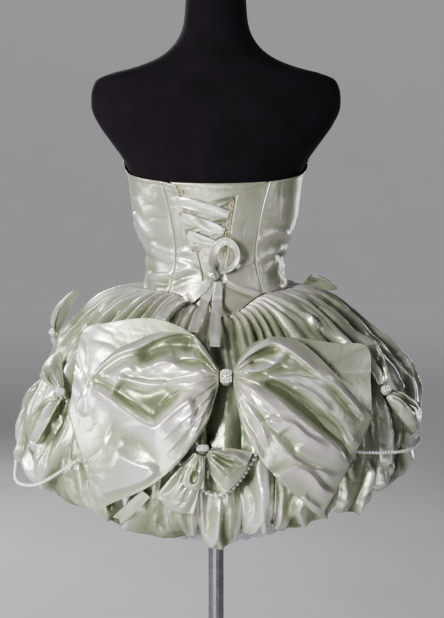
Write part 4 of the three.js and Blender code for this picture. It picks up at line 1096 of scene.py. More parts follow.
def build_skirt(lying_on_it):
    angle, row = skirt_grid()
    base = envelope(angle, row)
    normal = envelope_normal(angle, row)
    depth, loose = skirt_relief(angle, row, base)
    sagging = np.where((row > 7) & (row < 14), np.sin(math.pi * (row - 7) / 7), 0)
    points = base - normal * depth[..., None]
    points[..., 2] -= (HEM_SAG_SHARE * sag_of(angle) + HEM_SAG) * sagging
    points -= normal * keep_under(points, normal, lying_on_it, clearance=0.7, reach=14)[..., None]
    # Painted shading: darker where the cloth lies deep in its gathers, folds and notches, as painted
    # shade, and lighter on their tops as a painted highlight.
    usual = column(DEPTHS, "row", "gather")(row) + column(DEPTHS, "row", "fold")(row) + 7
    painted_shading = 0.98 - 0.72 * np.maximum(loose, 0) / usual - 0.01 * (depth - loose)
    skirt = add_grid("skirt_cloth", points, SKIRT_SATIN, closed=True, painted_shading=painted_shading)
    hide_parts("skirt")
    return skirt


UNDERSKIRT = table(
    "side back front side_z back_z front_z",
    (150, 117, 113, 942, 925, 925),
    (192, 156, 147, 880, 865, 866),
    (224, 190, 176, 806, 790, 806),
    (243, 215, 197, 745, 712, 745),
    (252, 225, 207, 700, 640, 700),
)
UNDERSKIRT_TOP_DROP = 7
UNDERSKIRT_TOP_OFFSET = 2.0
UNDERSKIRT_WAVE = 1.6
LACE_DROP = 7.5
LACE_SCALLOP = 3.2


def underskirt_ring(angle, size, offset=0.0):
    facing = np.cos(angle)
    depth = np.where(facing > 0, size["back"], size["front"])
    end = np.where(facing > 0, size["back_z"], size["front_z"])
    radius = 1 / np.hypot(np.sin(angle) / size["side"], facing / depth)
    return around(angle, radius + offset, mix(size["side_z"], end, facing**2))


def build_underskirt():
    angle = np.linspace(0, 2 * math.pi, 480, endpoint=False)
    z = waist_seam(half_turn(angle)) - UNDERSKIRT_TOP_DROP
    middle = UNDERSKIRT_TOP_OFFSET + CLOTH / 2
    rings = [around(angle, form_radius(half_turn(angle), z) + middle, z)]
    rings += [underskirt_ring(angle, size, -CLOTH / 2) for size in UNDERSKIRT]
    rings = np.array(rings)
    rows = 60
    flowing = np.stack([spline(rings[:, j], rows) for j in range(rings.shape[1])], axis=1)
    share = np.linspace(0, 1, rows)[:, None]
    fade = smooth(share * 3) * smooth((1 - share) * 8)
    wave = UNDERSKIRT_WAVE * (np.sin(48 * angle + 2 * noise(flowing, 90, 51)) - 1) * fade
    flowing += unit(flowing * (1, 1, 0)) * wave[..., None]
    lining = add_grid("underskirt_cloth", flowing, LINING, closed=True, thickness=0.5)
    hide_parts("underskirt")


def build_lace():
    """Lace edge: a net of small cells with a flower every few, and scallops along its edge."""
    scallops = 72
    cell = 16
    columns, rows = scallops * cell, 9
    hem = UNDERSKIRT[-1]
    angle = np.linspace(0, 2 * math.pi, columns, endpoint=False)[None, :]
    share = np.linspace(0, 1, rows)[:, None]
    phase = angle * scallops / 2
    drop = LACE_DROP + LACE_SCALLOP * np.abs(np.sin(phase))
    points = underskirt_ring(angle + 0 * share, hem, -CLOTH / 2)
    points[..., 2] -= 1 + (drop - 1) * share
    faces = []
    for i, face in enumerate(quads(rows, columns, True).tolist()):
        level, place = divmod(i, columns)
        along = place % cell
        off = math.hypot((along - cell / 2) / 4.2, (level - 4) / 3.2)
        solid = level in (0, rows - 2) or off < 0.34 or 0.72 < off < 1.02
        if solid or (place + level) % 3 == 0 or (place - level) % 3 == 0 and level % 2 == 0:
            faces.append(face)
    lace = add_mesh("lace_edge", points, faces, LACE)
    shell = lace.modifiers.new("thickness", "SOLIDIFY")
    shell.thickness = 0.5 * MM
    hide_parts("underskirt_lace")


# Lacing

LACING = table(
    "name from_x from_z to_x to_z layer",
    ("lacing_over_1", 60, 1146, -20, 1123, 2),
    ("lacing_over_2", 50, 1119, -13, 1096, 2),
    ("lacing_over_3", 41, 1091, -6, 1070, 2),
    ("lacing_under_1", 54, 1121, -27, 1148, 1),
    ("lacing_under_2", 45, 1094, -19, 1120, 1),
    ("lacing_under_3", 36, 1066, -12, 1092, 1),
)
LACING_FIRST_LAYER = BODICE_GAP + CLOTH + 0.55
LACING_LAYER = THIN_CLOTH + 0.7
# Looks of the ties of each layer. The lower ones are drawn together and painted darker, as shade under
# the upper ties.
LAYER_LOOKS = {
    1: {"width": 0.7, "swell": 0.4, "lift": 0, "painted_shading": 0.3},
    2: {"width": 1, "swell": 0.9, "lift": 0.6, "painted_shading": 0.8},
}


def ribbon_relief(share, across, salt):
    """Soft lengthwise folds of a satin ribbon, as height off its plane."""
    lean = 2.2 * np.sin(3.1 * share + salt)
    wave = np.cos(math.pi * (across * 1.05 + lean * 0.35 + salt)) * 0.5
    return wave * (0.6 + 0.4 * np.sin(7 * share + salt * 3))


def build_lacing():
    for number, tie in enumerate(LACING):
        look = LAYER_LOOKS[tie["layer"]]
        offset = LACING_FIRST_LAYER + (tie["layer"] - 1) * LACING_LAYER + THIN_CLOTH / 2
        slope = math.atan2(tie["to_z"] - tie["from_z"], tie["to_x"] - tie["from_x"])
        half = RIBBON_WIDTH / 2 * look["width"]
        share = np.linspace(0, 1, 60)[:, None]
        across = np.linspace(-1, 1, 17)[None, :]
        pinch_at_end = 0.35 * hump(share, 1, 0.16)
        pinch_at_start = 0.25 * hump(share, 0, 0.14)
        side = across * half * (1 - pinch_at_end - pinch_at_start)
        x = mix(tie["from_x"], tie["to_x"], share) - side * math.sin(slope)
        z = mix(tie["from_z"], tie["to_z"], share) + side * math.cos(slope)
        height = ribbon_relief(share, across, number * 1.7)
        height = height * smooth(share * 6) * smooth((1 - share) * 6)
        points = back_point(x, z, offset + look["swell"] * height + look["lift"])
        # Painted shading: the layer's painted shade, lighter on the ribbon's folds as a painted
        # highlight, with painted light and shade that waves along the tie.
        painted_shading = look["painted_shading"] + 0.5 * height + 0.2 * np.sin(9 * share + number)
        name = tie["name"] + "_ribbon"
        ribbon = add_grid(name, points, RIBBON_SATIN, painted_shading=painted_shading, thickness=0.4)
        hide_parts(tie["name"])


def build_piping():
    """Cord loops that stand off each placket edge, with a cord along the edge."""
    sides = (
        ("lace_loops_left", SEAMS["placket_left"], -1, 0.96),
        ("lace_loops_right", SEAMS["placket_right"], 1, 0.88),
    )
    for name, seam, towards, top in sides:
        parts = []
        share = np.linspace(0.42, top, 60)
        angle = seam(share) * DEGREE + towards * 0.9 / PLACKET_RADIUS
        parts.append(tube(bodice_point(angle, share, BODICE_GAP + CLOTH - 0.2), 0.85, 7))
        count = 6
        for k in range(count):
            middle = mix(0.47, top - 0.04, k / (count - 1))
            turn = np.linspace(0, math.pi, 15)
            along = middle + 0.024 * np.cos(turn)
            out = 0.6 + 5.0 * np.sin(turn)
            at = seam(along) * DEGREE + towards * out / PLACKET_RADIUS
            lift = BODICE_GAP + CLOTH + 0.3 + 0.5 * np.sin(turn)
            parts.append(tube(bodice_point(at, along, lift), 0.95, 7))
        points, faces = joined(parts)
        loops = add_mesh(name + "_cord", points, faces, PIPING)
        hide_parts(name)


# Knots

KNOT_PLEATS = 7
KNOT_PLEAT_DEPTH = 0.05


def build_knot(name, centre, right, up, out, size, material, beads=None):
    """A pleated knot. Beads are a band with its rows, radius, and whether they run across."""
    polar = np.linspace(-1, 1, 33)[:, None] * (math.pi / 2 - 0.03)
    turn = np.linspace(0, 2 * math.pi, 60, endpoint=False)[None, :]
    height = np.sin(polar)
    twist = 1.5 * np.sin(2 * polar)
    pleat = KNOT_PLEAT_DEPTH * np.cos(KNOT_PLEATS * turn + twist) * np.cos(polar)
    fat = 1 - KNOT_PLEAT_DEPTH + pleat
    level = np.cos(polar) * fat
    a = np.sin(turn) * level * size[0]
    b = (height + 0 * turn) * size[1] * 0.97
    c = np.cos(turn) * level * size[2]
    points = centre + a[..., None] * right + b[..., None] * up + c[..., None] * out
    rows, columns = points.shape[:2]
    faces = quads(rows, columns, True).tolist()
    faces.append(list(reversed(range(columns))))
    faces.append([(rows - 1) * columns + j for j in range(columns)])
    # Painted shading: darker in the pleats' valleys as painted shade, lighter on their tops as a painted
    # highlight.
    painted_shading = 0.55 + pleat * 6
    knot = add_mesh(name + "_cloth", points, faces, material, painted_shading)
    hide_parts(name)
    if beads is None:
        return knot
    pitch = beads["radius"] * 2.1
    centres = []
    for k in range(beads["rows"]):
        level = (k - (beads["rows"] - 1) / 2) * pitch + beads["shift"]
        if beads["across"]:
            reach = math.sqrt(max(1 - (level / size[1]) ** 2, 0.05))
            arc = np.linspace(-1.35, 1.35, 60)
            line = [np.sin(arc) * size[0] * reach, np.full(60, level), np.cos(arc) * size[2] * reach]
        else:
            reach = math.sqrt(max(1 - (level / size[0]) ** 2, 0.05))
            arc = np.linspace(-0.35, 1.25, 60)
            line = [np.full(60, level), np.sin(arc) * size[1] * reach, np.cos(arc) * size[2] * reach]
        line = np.stack(line, -1)
        length = np.linalg.norm(np.diff(line, axis=0), axis=1).sum()
        for spot in resample(line, max(int(length / pitch), 2)):
            centres.append(centre + spot[0] * right + spot[1] * up + (spot[2] + 0.2) * out)
    bead_points, bead_faces = beads_at(centres, beads["radius"])
    add_mesh(name + "_beads", bead_points, bead_faces, BEAD)
    return knot


BIG_KNOT_BEADS = {"rows": 5, "radius": 1.7, "shift": 0, "across": False}
SMALL_KNOT_BEADS = {"rows": 3, "radius": 1.5, "shift": 1.5, "across": True}


# Bow of the lacing

CORSET_KNOT = {"x": 3, "z": 1027, "half_width": 10, "half_height": 9, "half_depth": 6}
CORSET_LIFT = LACING_FIRST_LAYER + 2 * LACING_LAYER
CORSET_LOOP = table(
    "x z width forward",
    (4, 1034, 9, -2),
    (6, 1046, 13, 1),
    (4, 1060, 14, 4),
    (-3, 1074, 14, 6),
    (-15, 1081, 13, 7),
    (-27, 1076, 11, 6),
    (-34, 1063, 8, 4),
    (-32, 1048, 7, 2),
    (-22, 1037, 7, 0),
    (-8, 1032, 7, -2),
)
CORSET_TAILS = table(
    "name start_x waist_x end_x end_row width lift",
    ("corset_tail_left", 8, 42, 84, 3.2, 19, 10.0),
    ("corset_tail_middle", 3, 16, 34, 3.5, 15, 6.6),
    ("corset_tail_right", -4, -2, 1, 4.1, 16, 8.2),
)


def build_corset_bow():
    x, z = CORSET_KNOT["x"], CORSET_KNOT["z"]
    size = (CORSET_KNOT["half_width"], CORSET_KNOT["half_height"], CORSET_KNOT["half_depth"])
    centre = back_point(x, z, CORSET_LIFT + size[2])
    build_knot("corset_knot", centre, RIGHT, UP, BEHIND, size, RIBBON_SATIN)

    steps = 110
    line = spline([(spot["x"], spot["z"]) for spot in CORSET_LOOP], steps)
    share = np.linspace(0, 1, steps)
    at = np.linspace(0, 1, len(CORSET_LOOP))
    width = np.interp(share, at, [spot["width"] for spot in CORSET_LOOP])
    forward = np.interp(share, at, [spot["forward"] for spot in CORSET_LOOP])
    middle = np.stack([line[:, 0], centre[1] + forward, line[:, 1]], -1)
    centre_x, centre_z = line.mean(axis=0)
    inward = unit(np.stack([centre_x - line[:, 0], 0 * share, centre_z - line[:, 1]], -1))
    across = np.linspace(-0.5, 0.5, 15)[None, :]
    points = middle[:, None, :] + (across * width[:, None])[..., None] * inward[:, None, :]
    turned_back = 1 - width / RIBBON_WIDTH
    cup = across * 9 * turned_back[:, None] + 0.5 * np.cos(math.pi * across)
    points[..., 1] -= cup
    # Painted shading: the loop's outer edge lighter as a painted highlight, its inner edge darker as
    # painted shade.
    painted_shading = 0.75 - 0.3 * across + 0 * cup
    loop = add_grid("corset_loop_ribbon", points, RIBBON_SATIN, painted_shading=painted_shading, thickness=0.4)
    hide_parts("corset_loop")
    return [corset_tail(number, tail, z, size) for number, tail in enumerate(CORSET_TAILS)]


# Where the tails come to the waist seam, and the skirt's row on which they first lie
TAIL_WAIST_Z = 984
TAIL_FIRST_ROW = 1.7


def corset_tail(number, tail, knot_z, knot_size):
    """A tail hangs from under the knot over the waist seam and on over the skirt."""
    lift = LACING_FIRST_LAYER + tail["lift"]
    depth_share = (lift + THIN_CLOTH / 2 - CORSET_LIFT - knot_size[2]) / knot_size[2]
    start_z = knot_z - knot_size[1] * math.sqrt(1 - depth_share**2) - 1.5
    share = np.linspace(0, 1, 4)
    height = mix(start_z, TAIL_WAIST_Z, share)
    side = mix(tail["start_x"], tail["waist_x"], share)
    path = list(back_point(side, height, lift))
    faces = [BEHIND] * len(path)
    for k in range(5):
        row = mix(TAIL_FIRST_ROW, tail["end_row"], k / 4)
        along = mix(mix(tail["waist_x"], tail["end_x"], 0.3), tail["end_x"], k / 4)
        angle = skirt_angle(along, row)
        normal = envelope_normal(angle, row)
        path.append(envelope(angle, row) + normal * tail["lift"])
        faces.append(normal)
    line = spline(path, 80)
    facing = unit(resample(np.array(faces), 80))
    direction = unit(np.gradient(line, axis=0))
    sideways = unit(np.cross(direction, facing))
    width = tail["width"] * (1 - 0.35 * np.exp(-((np.linspace(0, 1, 80) / 0.1) ** 2)))
    across = np.linspace(-0.5, 0.5, 15)
    points = line[:, None, :] + across[None, :, None] * (width[:, None] * sideways)[:, None, :]
    height = ribbon_relief(np.linspace(0, 1, 80)[:, None], across[None, :] * 2, number * 2.3 + 1)
    points = points + facing[:, None, :] * (0.9 * height)[..., None]
    name = tail["name"]
    # Painted shading: lighter on the ribbon's folds as a painted highlight, darker between them as
    # painted shade.
    painted_shading = 0.85 + 0.4 * height
    ribbon = add_grid(name + "_ribbon", points, RIBBON_SATIN, painted_shading=painted_shading, thickness=0.4)
    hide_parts(name)
    return ribbon


# Big bow

BIG_KNOT = {"x": -16, "z": 892, "half_width": 10.7, "half_height": 13, "half_depth": 13}
WING_STAND_OFF = 9
WING_ROOT_DEPTH = 7
WING_PUFF = 25
WING_FOLD = 2.5

# Outlines and folds of the wings as x and height, which follow the photo.
# Strip is how strongly the outer strip of the back layer is creased and painted lighter as a highlight.
# Scoop is the hollow of the loop's mouth, by the shares along and across the wing.
BIG_WINGS = {
    "left": {
        "outward": 1,
        "strip": 1.0,
        "upper_front": [
            (-5, 903), (18, 937), (36, 953), (87, 956), (122, 943), (156, 925), (190, 888),
            (223, 828),
        ],
        "upper_back": [
            (-5, 905), (18, 940), (61, 965), (104, 974), (160, 966), (203, 951), (216, 888),
            (223, 830),
        ],
        "lower": [
            (-5, 882), (10, 834), (33, 801), (63, 767), (102, 735), (150, 709), (174, 693),
        ],
        "scoop": {"s": 0.5, "w": 0.42, "depth": 16.8},
        "folds": table(
            "width height lap power path",
            (3.5, 6.5, 9, 1.3, [
                (-9, 903), (32, 953), (59, 956), (89, 948), (112, 936), (151, 922), (186, 892),
                (210, 852),
            ]),
            (13, -11, 0, 1.9, [(28, 940), (50, 944), (77, 939), (104, 924), (114, 906)]),
            (7, 4, 0, 1.3, [(62, 930), (78, 922), (88, 928)]),
            (3.5, 9, 14, 1.3, [(112, 902), (89, 915), (69, 917), (42, 907), (-7, 901)]),
            (3, 5, 10, 1.3, [(150, 892), (100, 884), (50, 888), (0, 894)]),
            (4, 13, 22, 1.3, [
                (196, 878), (184, 874), (159, 863), (131, 846), (92, 829), (70, 846), (42, 873),
                (14, 890),
            ]),
            (17, -9, 0, 2, [(150, 884), (108, 862), (78, 868), (50, 884)]),
            (14, 4, 0, 2, [(160, 880), (140, 896), (118, 908)]),
            (7, 4, 14, 1.3, [(205, 872), (196, 848), (200, 826)]),
            (3, 6, 9, 1.3, [(40, 872), (34, 850), (40, 826)]),
            (3, 6, 8, 1.3, [(6, 884), (14, 852), (34, 812)]),
            (16, -4, 0, 2, [(164, 812), (124, 800), (92, 808)]),
            (6, 3, 18, 1.3, [(150, 784), (119, 772), (82, 764)]),
            (5, 4.5, 26, 1.3, [(80, 768), (107, 748), (152, 729), (192, 714)]),
            (2.5, 3.4, 6, 1.3, [(192, 736), (176, 724), (166, 706)]),
            (2.5, 3, 6, 1.3, [(202, 760), (192, 740)]),
        ),
    },
    "right": {
        "outward": -1,
        "strip": 0.1,
        "upper_front": [
            (-27, 903), (-48, 929), (-72, 945), (-90, 950), (-123, 944), (-151, 924), (-195, 878),
            (-240, 822),
        ],
        "upper_back": [
            (-27, 905), (-48, 932), (-73, 944), (-124, 945), (-178, 936), (-233, 927),
            (-238, 876), (-240, 825),
        ],
        "lower": [
            (-27, 882), (-40, 826), (-66, 782), (-86, 756), (-129, 711), (-145, 693), (-158, 682),
        ],
        "scoop": {"s": 0.62, "w": 0.3, "depth": 9.8},
        "folds": table(
            "width height lap power path",
            (3.5, 6.5, 8, 1.3, [
                (-232, 820), (-213, 843), (-184, 874), (-155, 896), (-126, 921), (-97, 940),
                (-74, 940), (-46, 921), (-27, 899),
            ]),
            (2.5, -3, 0, 1.3, [(-206, 838), (-176, 872), (-150, 892)]),
            (8, -7, 0, 1.8, [(-50, 912), (-76, 927), (-102, 930)]),
            (3.5, 8, 9, 1.3, [(-112, 930), (-88, 914), (-66, 906), (-29, 898)]),
            (3, 5, 12, 1.3, [(-30, 895), (-80, 896), (-122, 896), (-164, 882), (-186, 850)]),
            (10, -11, 0, 1.9, [(-66, 888), (-98, 878), (-134, 853), (-170, 819), (-204, 784)]),
            (4, 12, 22, 1.3, [
                (-31, 893), (-89, 869), (-130, 834), (-179, 792), (-198, 764), (-216, 738),
            ]),
            (3, 5, 10, 1.3, [(-66, 836), (-109, 835), (-138, 811), (-173, 790)]),
            (3, 5, 12, 1.3, [(-72, 832), (-101, 798), (-122, 775), (-172, 748), (-202, 744)]),
            (3, 7, 14, 1.3, [(-78, 750), (-118, 765), (-143, 754), (-164, 726), (-198, 706)]),
            (3.5, 9, 9, 1.3, [(-34, 882), (-54, 852), (-68, 832), (-80, 796)]),
            (3, 6, 7, 1.3, [(-30, 870), (-38, 832), (-58, 804), (-72, 772)]),
            (6, 3, 0, 1.8, [(-116, 884), (-150, 864), (-178, 832)]),
            (11, -5, 0, 2, [(-100, 822), (-112, 806), (-122, 788)]),
            (4, 4, 8, 1.3, [(-206, 800), (-222, 776), (-226, 752)]),
            (3, 4, 7, 1.3, [(-130, 720), (-146, 706), (-162, 690)]),
        ),
    },
}


def big_bow_base(x, z):
    """The bow's own plane leans back above the knot and to the sides. The skirt pushes it out."""
    plane = 241 - 0.0008 * x * x - 0.4 * np.maximum(0, z - BIG_KNOT["z"])
    cloth = skirt_back_y(x, np.minimum(z, 950)) + WING_STAND_OFF
    apart = plane - cloth
    return (plane + cloth + np.sqrt(apart * apart + 60)) / 2


def build_big_bow():
    steps, width = 120, 150
    s = np.linspace(0, 1, steps)[:, None]
    w = np.linspace(0, 1, width)[None, :]
    for side, wing in BIG_WINGS.items():
        upper_front = spline(wing["upper_front"], steps)
        upper_back = spline(wing["upper_back"], steps)
        lower = spline(wing["lower"], steps)

        def lay(upper, lift, lower=lower):
            flat = mix(upper[:, None, :], lower[:, None, :], w[..., None])
            x, z = flat[..., 0], flat[..., 1]
            return np.stack([x, big_bow_base(x, z) + lift, z], -1)

        crown = np.sin(math.pi * s**0.8) * (0.45 + 0.55 * np.sin(math.pi * w))
        scoop = wing["scoop"]
        from_scoop = np.hypot((s - scoop["s"]) / 0.24, (w - scoop["w"]) / 0.2)
        hollow = scoop["depth"] * np.exp(-(from_scoop**2))
        flat = mix(upper_front[:, None, :], lower[:, None, :], w[..., None])
        place = np.stack([flat[..., 0], 0 * flat[..., 0], flat[..., 1]], -1)
        laid = np.stack([w * 90 + 0 * s, s * 30 + 0 * w, 0 * s + 0 * w], -1)
        jitter = 1.4 * noise(laid, 20, 61 + wing["outward"])
        root = smooth(s * 9) * (1 - smooth((s - 0.08) / 0.5))
        pleat = pleats(8 * w + 0.35 * jitter) * 3.4 * root
        folds = creases(flat, wing["folds"])
        tip = smooth((s - 0.75) / 0.25)
        edge = inside(w, 0.03, 0.03)
        crumples = 0.9 * crumple(place, 40, 63) + 0.5 * crumple(place, 17, 64)
        small = crumples * (0.3 + 0.5 * tip + 0.4 * hump(w, 0, 0.1))
        rough = np.maximum(WING_ROOT_DEPTH + WING_PUFF * crown - hollow, 6)
        relief = pleat + (folds * smooth(s * 12) + small * smooth(s * 6)) * (0.25 + 0.75 * edge)
        ends = 1 - smooth((s - 0.9) / 0.1)
        front = lay(upper_front, np.maximum(rough + relief * (0.35 + 0.65 * ends), 3.2))
        outer_strip = hump(w, 0, 0.22) * smooth((s - 0.45) / 0.2) * wing["strip"]
        within = smooth(s * 5) * (1 - smooth((s - 0.92) / 0.08))
        back_crumple = 0.25 * crumple(place, 36, 66) + 2.0 * outer_strip * crumple(place, 16, 67)
        back_relief = back_crumple * within
        back = lay(upper_back, back_relief)
        fold = (front[-1] + back[-1]) / 2
        fold[:, 0] += wing["outward"] * WING_FOLD
        points = np.concatenate([front, fold[None], back[::-1]])
        # Painted shading of the wing: the front lighter on its folds' tops as a painted highlight and
        # darker in their valleys as painted shade; the back layer's outer strip painted lighter as a
        # lilac-white highlight.
        back_painted_shading = 0.5 + 0.45 * outer_strip + back_relief / 6
        bend = np.concatenate([relief / 14 + 0.55, np.full((1, width), 0.6), back_painted_shading[::-1]])
        name = f"big_bow_wing_{side}"
        flip = wing["outward"] > 0
        cloth = add_grid(name + "_cloth", points, BOW_SATIN, painted_shading=bend, flip=flip)
        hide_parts(name)

    low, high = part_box("big_bow_knot")
    centre = np.array((low + high) / 2) / MM
    size = (BIG_KNOT["half_width"], BIG_KNOT["half_height"], BIG_KNOT["half_depth"])
    build_knot("big_bow_knot", centre, RIGHT, UP, BEHIND, size, BOW_SATIN, BIG_KNOT_BEADS)


# Small bows

# A wing's turn is its direction in degrees, from the wearer's right hand upwards
WING_COLUMNS = "name turn length root tip puff"
SMALL_BOWS = {
    "bow_centre": {
        "angle": 3.8, "row": 7.05, "lift": 13.5, "knot_depth": 11,
        "wings": table(
            WING_COLUMNS,
            ("left", -116, 90, 15, 60, 13),
            ("right", -34, 62, 16, 76, 17),
        ),
    },
    "bow_left": {
        "angle": 54, "row": 6.0, "lift": 2, "knot_depth": 8,
        "wings": table(
            WING_COLUMNS,
            ("upper", 150, 74, 14, 54, 14),
            ("lower", 234, 86, 15, 58, 15),
        ),
    },
    "bow_right": {
        "angle": -58, "row": 5.95, "lift": 2, "knot_depth": 8,
        "wings": table(
            WING_COLUMNS,
            ("upper", 84, 66, 15, 52, 13),
            ("lower", -44, 84, 15, 60, 15),
        ),
    },
    "bow_front_left": {
        "angle": 103, "row": 4.95, "lift": 2, "knot_depth": 8,
        "wings": table(
            WING_COLUMNS,
            ("upper", 62, 84, 15, 60, 14),
            ("lower", 205, 80, 15, 58, 15),
        ),
    },
    "bow_front_right": {
        "angle": -129, "row": 3.2, "lift": 4.6, "knot_depth": 9,
        "wings": table(
            WING_COLUMNS,
            ("upper", 22, 72, 15, 54, 18),
            ("lower", 158, 72, 15, 54, 18),
        ),
    },
}
# The centre bow's third loop, which hangs down
CENTRE_DROP = {"turn": -104, "length": 54, "root": 15, "tip": 33, "puff": 12, "lift": 29}
SMALL_KNOT = 9
SKIRT_CURVE = 420


def small_wing(name, place, wing, lift, salt, teardrop=0.0):
    """A loop of folded ribbon from the knot: two layers joined by a fold at its end."""
    steps, width = 56, 52
    s = np.linspace(0, 1, steps)[:, None]
    w = np.linspace(0, 1, width)[None, :]
    turn = wing["turn"] * DEGREE
    start = SMALL_KNOT + 0.3 + CLOTH / 4

    def spot(s, height, extra):
        spread = mix(wing["root"], wing["tip"], s**0.75)
        side = (0.5 - w) * spread
        rounding = 0.12 * wing["length"] * s * (1 - (2 * w - 1) ** 2)
        reach = mix(start, wing["length"], s) + extra + rounding
        p = reach * math.cos(turn) - side * math.sin(turn)
        q = reach * math.sin(turn) + side * math.cos(turn)
        return place(p, q, height + 0 * p)

    crown = np.sin(math.pi * s**0.75) * (0.6 + 0.4 * np.sin(math.pi * w))
    flat = np.stack([s * wing["length"] + 0 * w, w * wing["tip"] + 0 * s, 0 * s + 0 * w], -1)
    jitter = 1.2 * noise(flat, 24, salt)
    root = smooth(s * 8) * (1 - smooth((s - 0.1) / 0.75))
    pleat = pleats(4.4 * w + 0.4 * jitter) * 2.4 * root
    edge = inside(w, 0.06, 0.06)
    dent = -0.45 * wing["puff"] * np.exp(-(((w - 0.45) / 0.16) ** 2) - ((s - 0.42) / 0.22) ** 2)
    roll = 3.0 * hump(w, 0.16, 0.08) * smooth(s * 4) * smooth((1 - s) * 3)
    roll = roll - 2.6 * hump(w, 0.31, 0.07) * smooth(s * 4) * smooth((1 - s) * 3)
    small = 1.0 * crumple(flat, 30, salt + 1) + 0.6 * crumple(flat, 13, salt + 2)
    opening = np.hypot((w - 0.5) / 0.2, (s - 0.66) / 0.2)
    rim = teardrop * (0.35 * hump(opening, 1.15, 0.3) - np.exp(-(opening**4)))
    ends = 1 - smooth((s - 0.85) / 0.15)
    relief = pleat + (dent + roll + small) * edge * ends * smooth(s * 6) + rim
    closing = mix(0.12, 1, inside(w, 0.3, 0.3))
    front = spot(s, lift + np.maximum((6.5 + 0.8 * wing["puff"] * crown) * closing + relief, 2), 0)
    back = spot(s, lift + 0.6 * small * edge * ends * smooth(s * 5) + 0.4, 0)
    fold = spot(s[-1:], lift + 3.2, 2)
    points = np.concatenate([front, fold, back[::-1]])
    # Painted shading: the front lighter on its folds' tops and darker in its dents as painted highlight
    # and shade, the fold end a little lighter, and the back layer a little darker as painted shade.
    fold_end_painted_shading = np.full((1, width), 0.65)
    back_layer_painted_shading = np.full((steps, width), 0.5)
    painted_shading = np.concatenate([0.55 + relief / 8, fold_end_painted_shading, back_layer_painted_shading])
    cloth = add_grid(name, points, BOW_SATIN, painted_shading=painted_shading, flip=True)
    return cloth


def build_small_bows():
    pieces = []
    for number, (name, bow) in enumerate(SMALL_BOWS.items()):
        angle = bow["angle"] * DEGREE
        out = envelope_normal(angle, bow["row"])
        right = np.array([-math.cos(angle), math.sin(angle), 0])
        right = unit(right - out * (right @ out))
        up = np.cross(out, right)
        low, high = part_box(name + "_knot")
        centre = np.array((low + high) / 2) / MM
        seat = centre - out * (bow["knot_depth"] + 0.5)

        def place(p, q, height, seat=seat, right=right, up=up, out=out):
            wrapped = height - (p * p + q * q) / (2 * SKIRT_CURVE)
            return seat + p[..., None] * right + q[..., None] * up + wrapped[..., None] * out

        size = (SMALL_KNOT, SMALL_KNOT, bow["knot_depth"])
        knot = build_knot(
            name + "_knot", centre, right, up, out, size, BOW_SATIN, SMALL_KNOT_BEADS
        )
        pieces.append(knot)
        for index, wing in enumerate(bow["wings"]):
            piece = f"{name}_{wing['name']}"
            cloth = small_wing(piece + "_cloth", place, wing, bow["lift"], 70 + number * 7 + index * 3)
            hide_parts(piece)
            pieces.append(cloth)
        if name == "bow_centre":
            small_wing("bow_centre_drop_cloth", place, CENTRE_DROP, CENTRE_DROP["lift"], 66, 7.0)
    return pieces


# Ribbon tail

RIBBON_TAIL = {
    "from_x": 104, "from_z": 722, "to_x": 149, "to_z": 672,
    "length": 67, "width": 18, "lift": 3, "notch": 5,
}


def build_ribbon_tail():
    tail = RIBBON_TAIL
    slope = math.atan2(tail["to_z"] - tail["from_z"], tail["to_x"] - tail["from_x"])
    share = np.linspace(0, 1, 50)[:, None]
    across = np.linspace(-0.5, 0.5, 15)[None, :]
    notch = tail["notch"] * share**12 * (1 - 2 * np.abs(across))
    along = share - notch / tail["length"]
    x = mix(tail["from_x"], tail["to_x"], along) - across * tail["width"] * math.sin(slope)
    z = mix(tail["from_z"], tail["to_z"], along) + across * tail["width"] * math.cos(slope)
    points = np.stack([x, skirt_back_y(x, z) + tail["lift"], z], -1)
    low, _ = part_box("big_bow_tail")
    points[..., 1] += low[1] / MM - points[..., 1].min()
    height = ribbon_relief(share, across * 2, 4.1)
    points[..., 1] += 0.8 * height + 0.4
    # Painted shading: lighter on the ribbon's folds as a painted highlight, darker between them as
    # painted shade.
    painted_shading = 0.6 + 0.5 * height
    cloth = add_grid("bow_tail_ribbon", points, BOW_SATIN, painted_shading=painted_shading, thickness=0.4)
    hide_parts("big_bow_tail")
    return cloth


# Bead strands

SWAGS = table(
    "name start start_z end end_z low gap",
    ("strand_left", 108, 768, 40, 768, 690, 0.5),
    ("strand_centre", 15, 806, -15.5, 806, 719, 0.5),
    ("strand_right", -37, 778, -144, 778, 744, 0.5),
    ("strand_front_right", -144, 778, -180, 782, 728, 0.5),
    ("strand_front", 180, 782, 144, 778, 728, -0.4),
    ("strand_front_left", 144, 778, 108, 768, 724, 0.5),
)
STRAND_END_TRIM = 0.9
STRAND_SMOOTHING = 3
# Degrees to each side in which a strand finds the fold that it hangs on
FOLD_LOOKOUT = 3.2


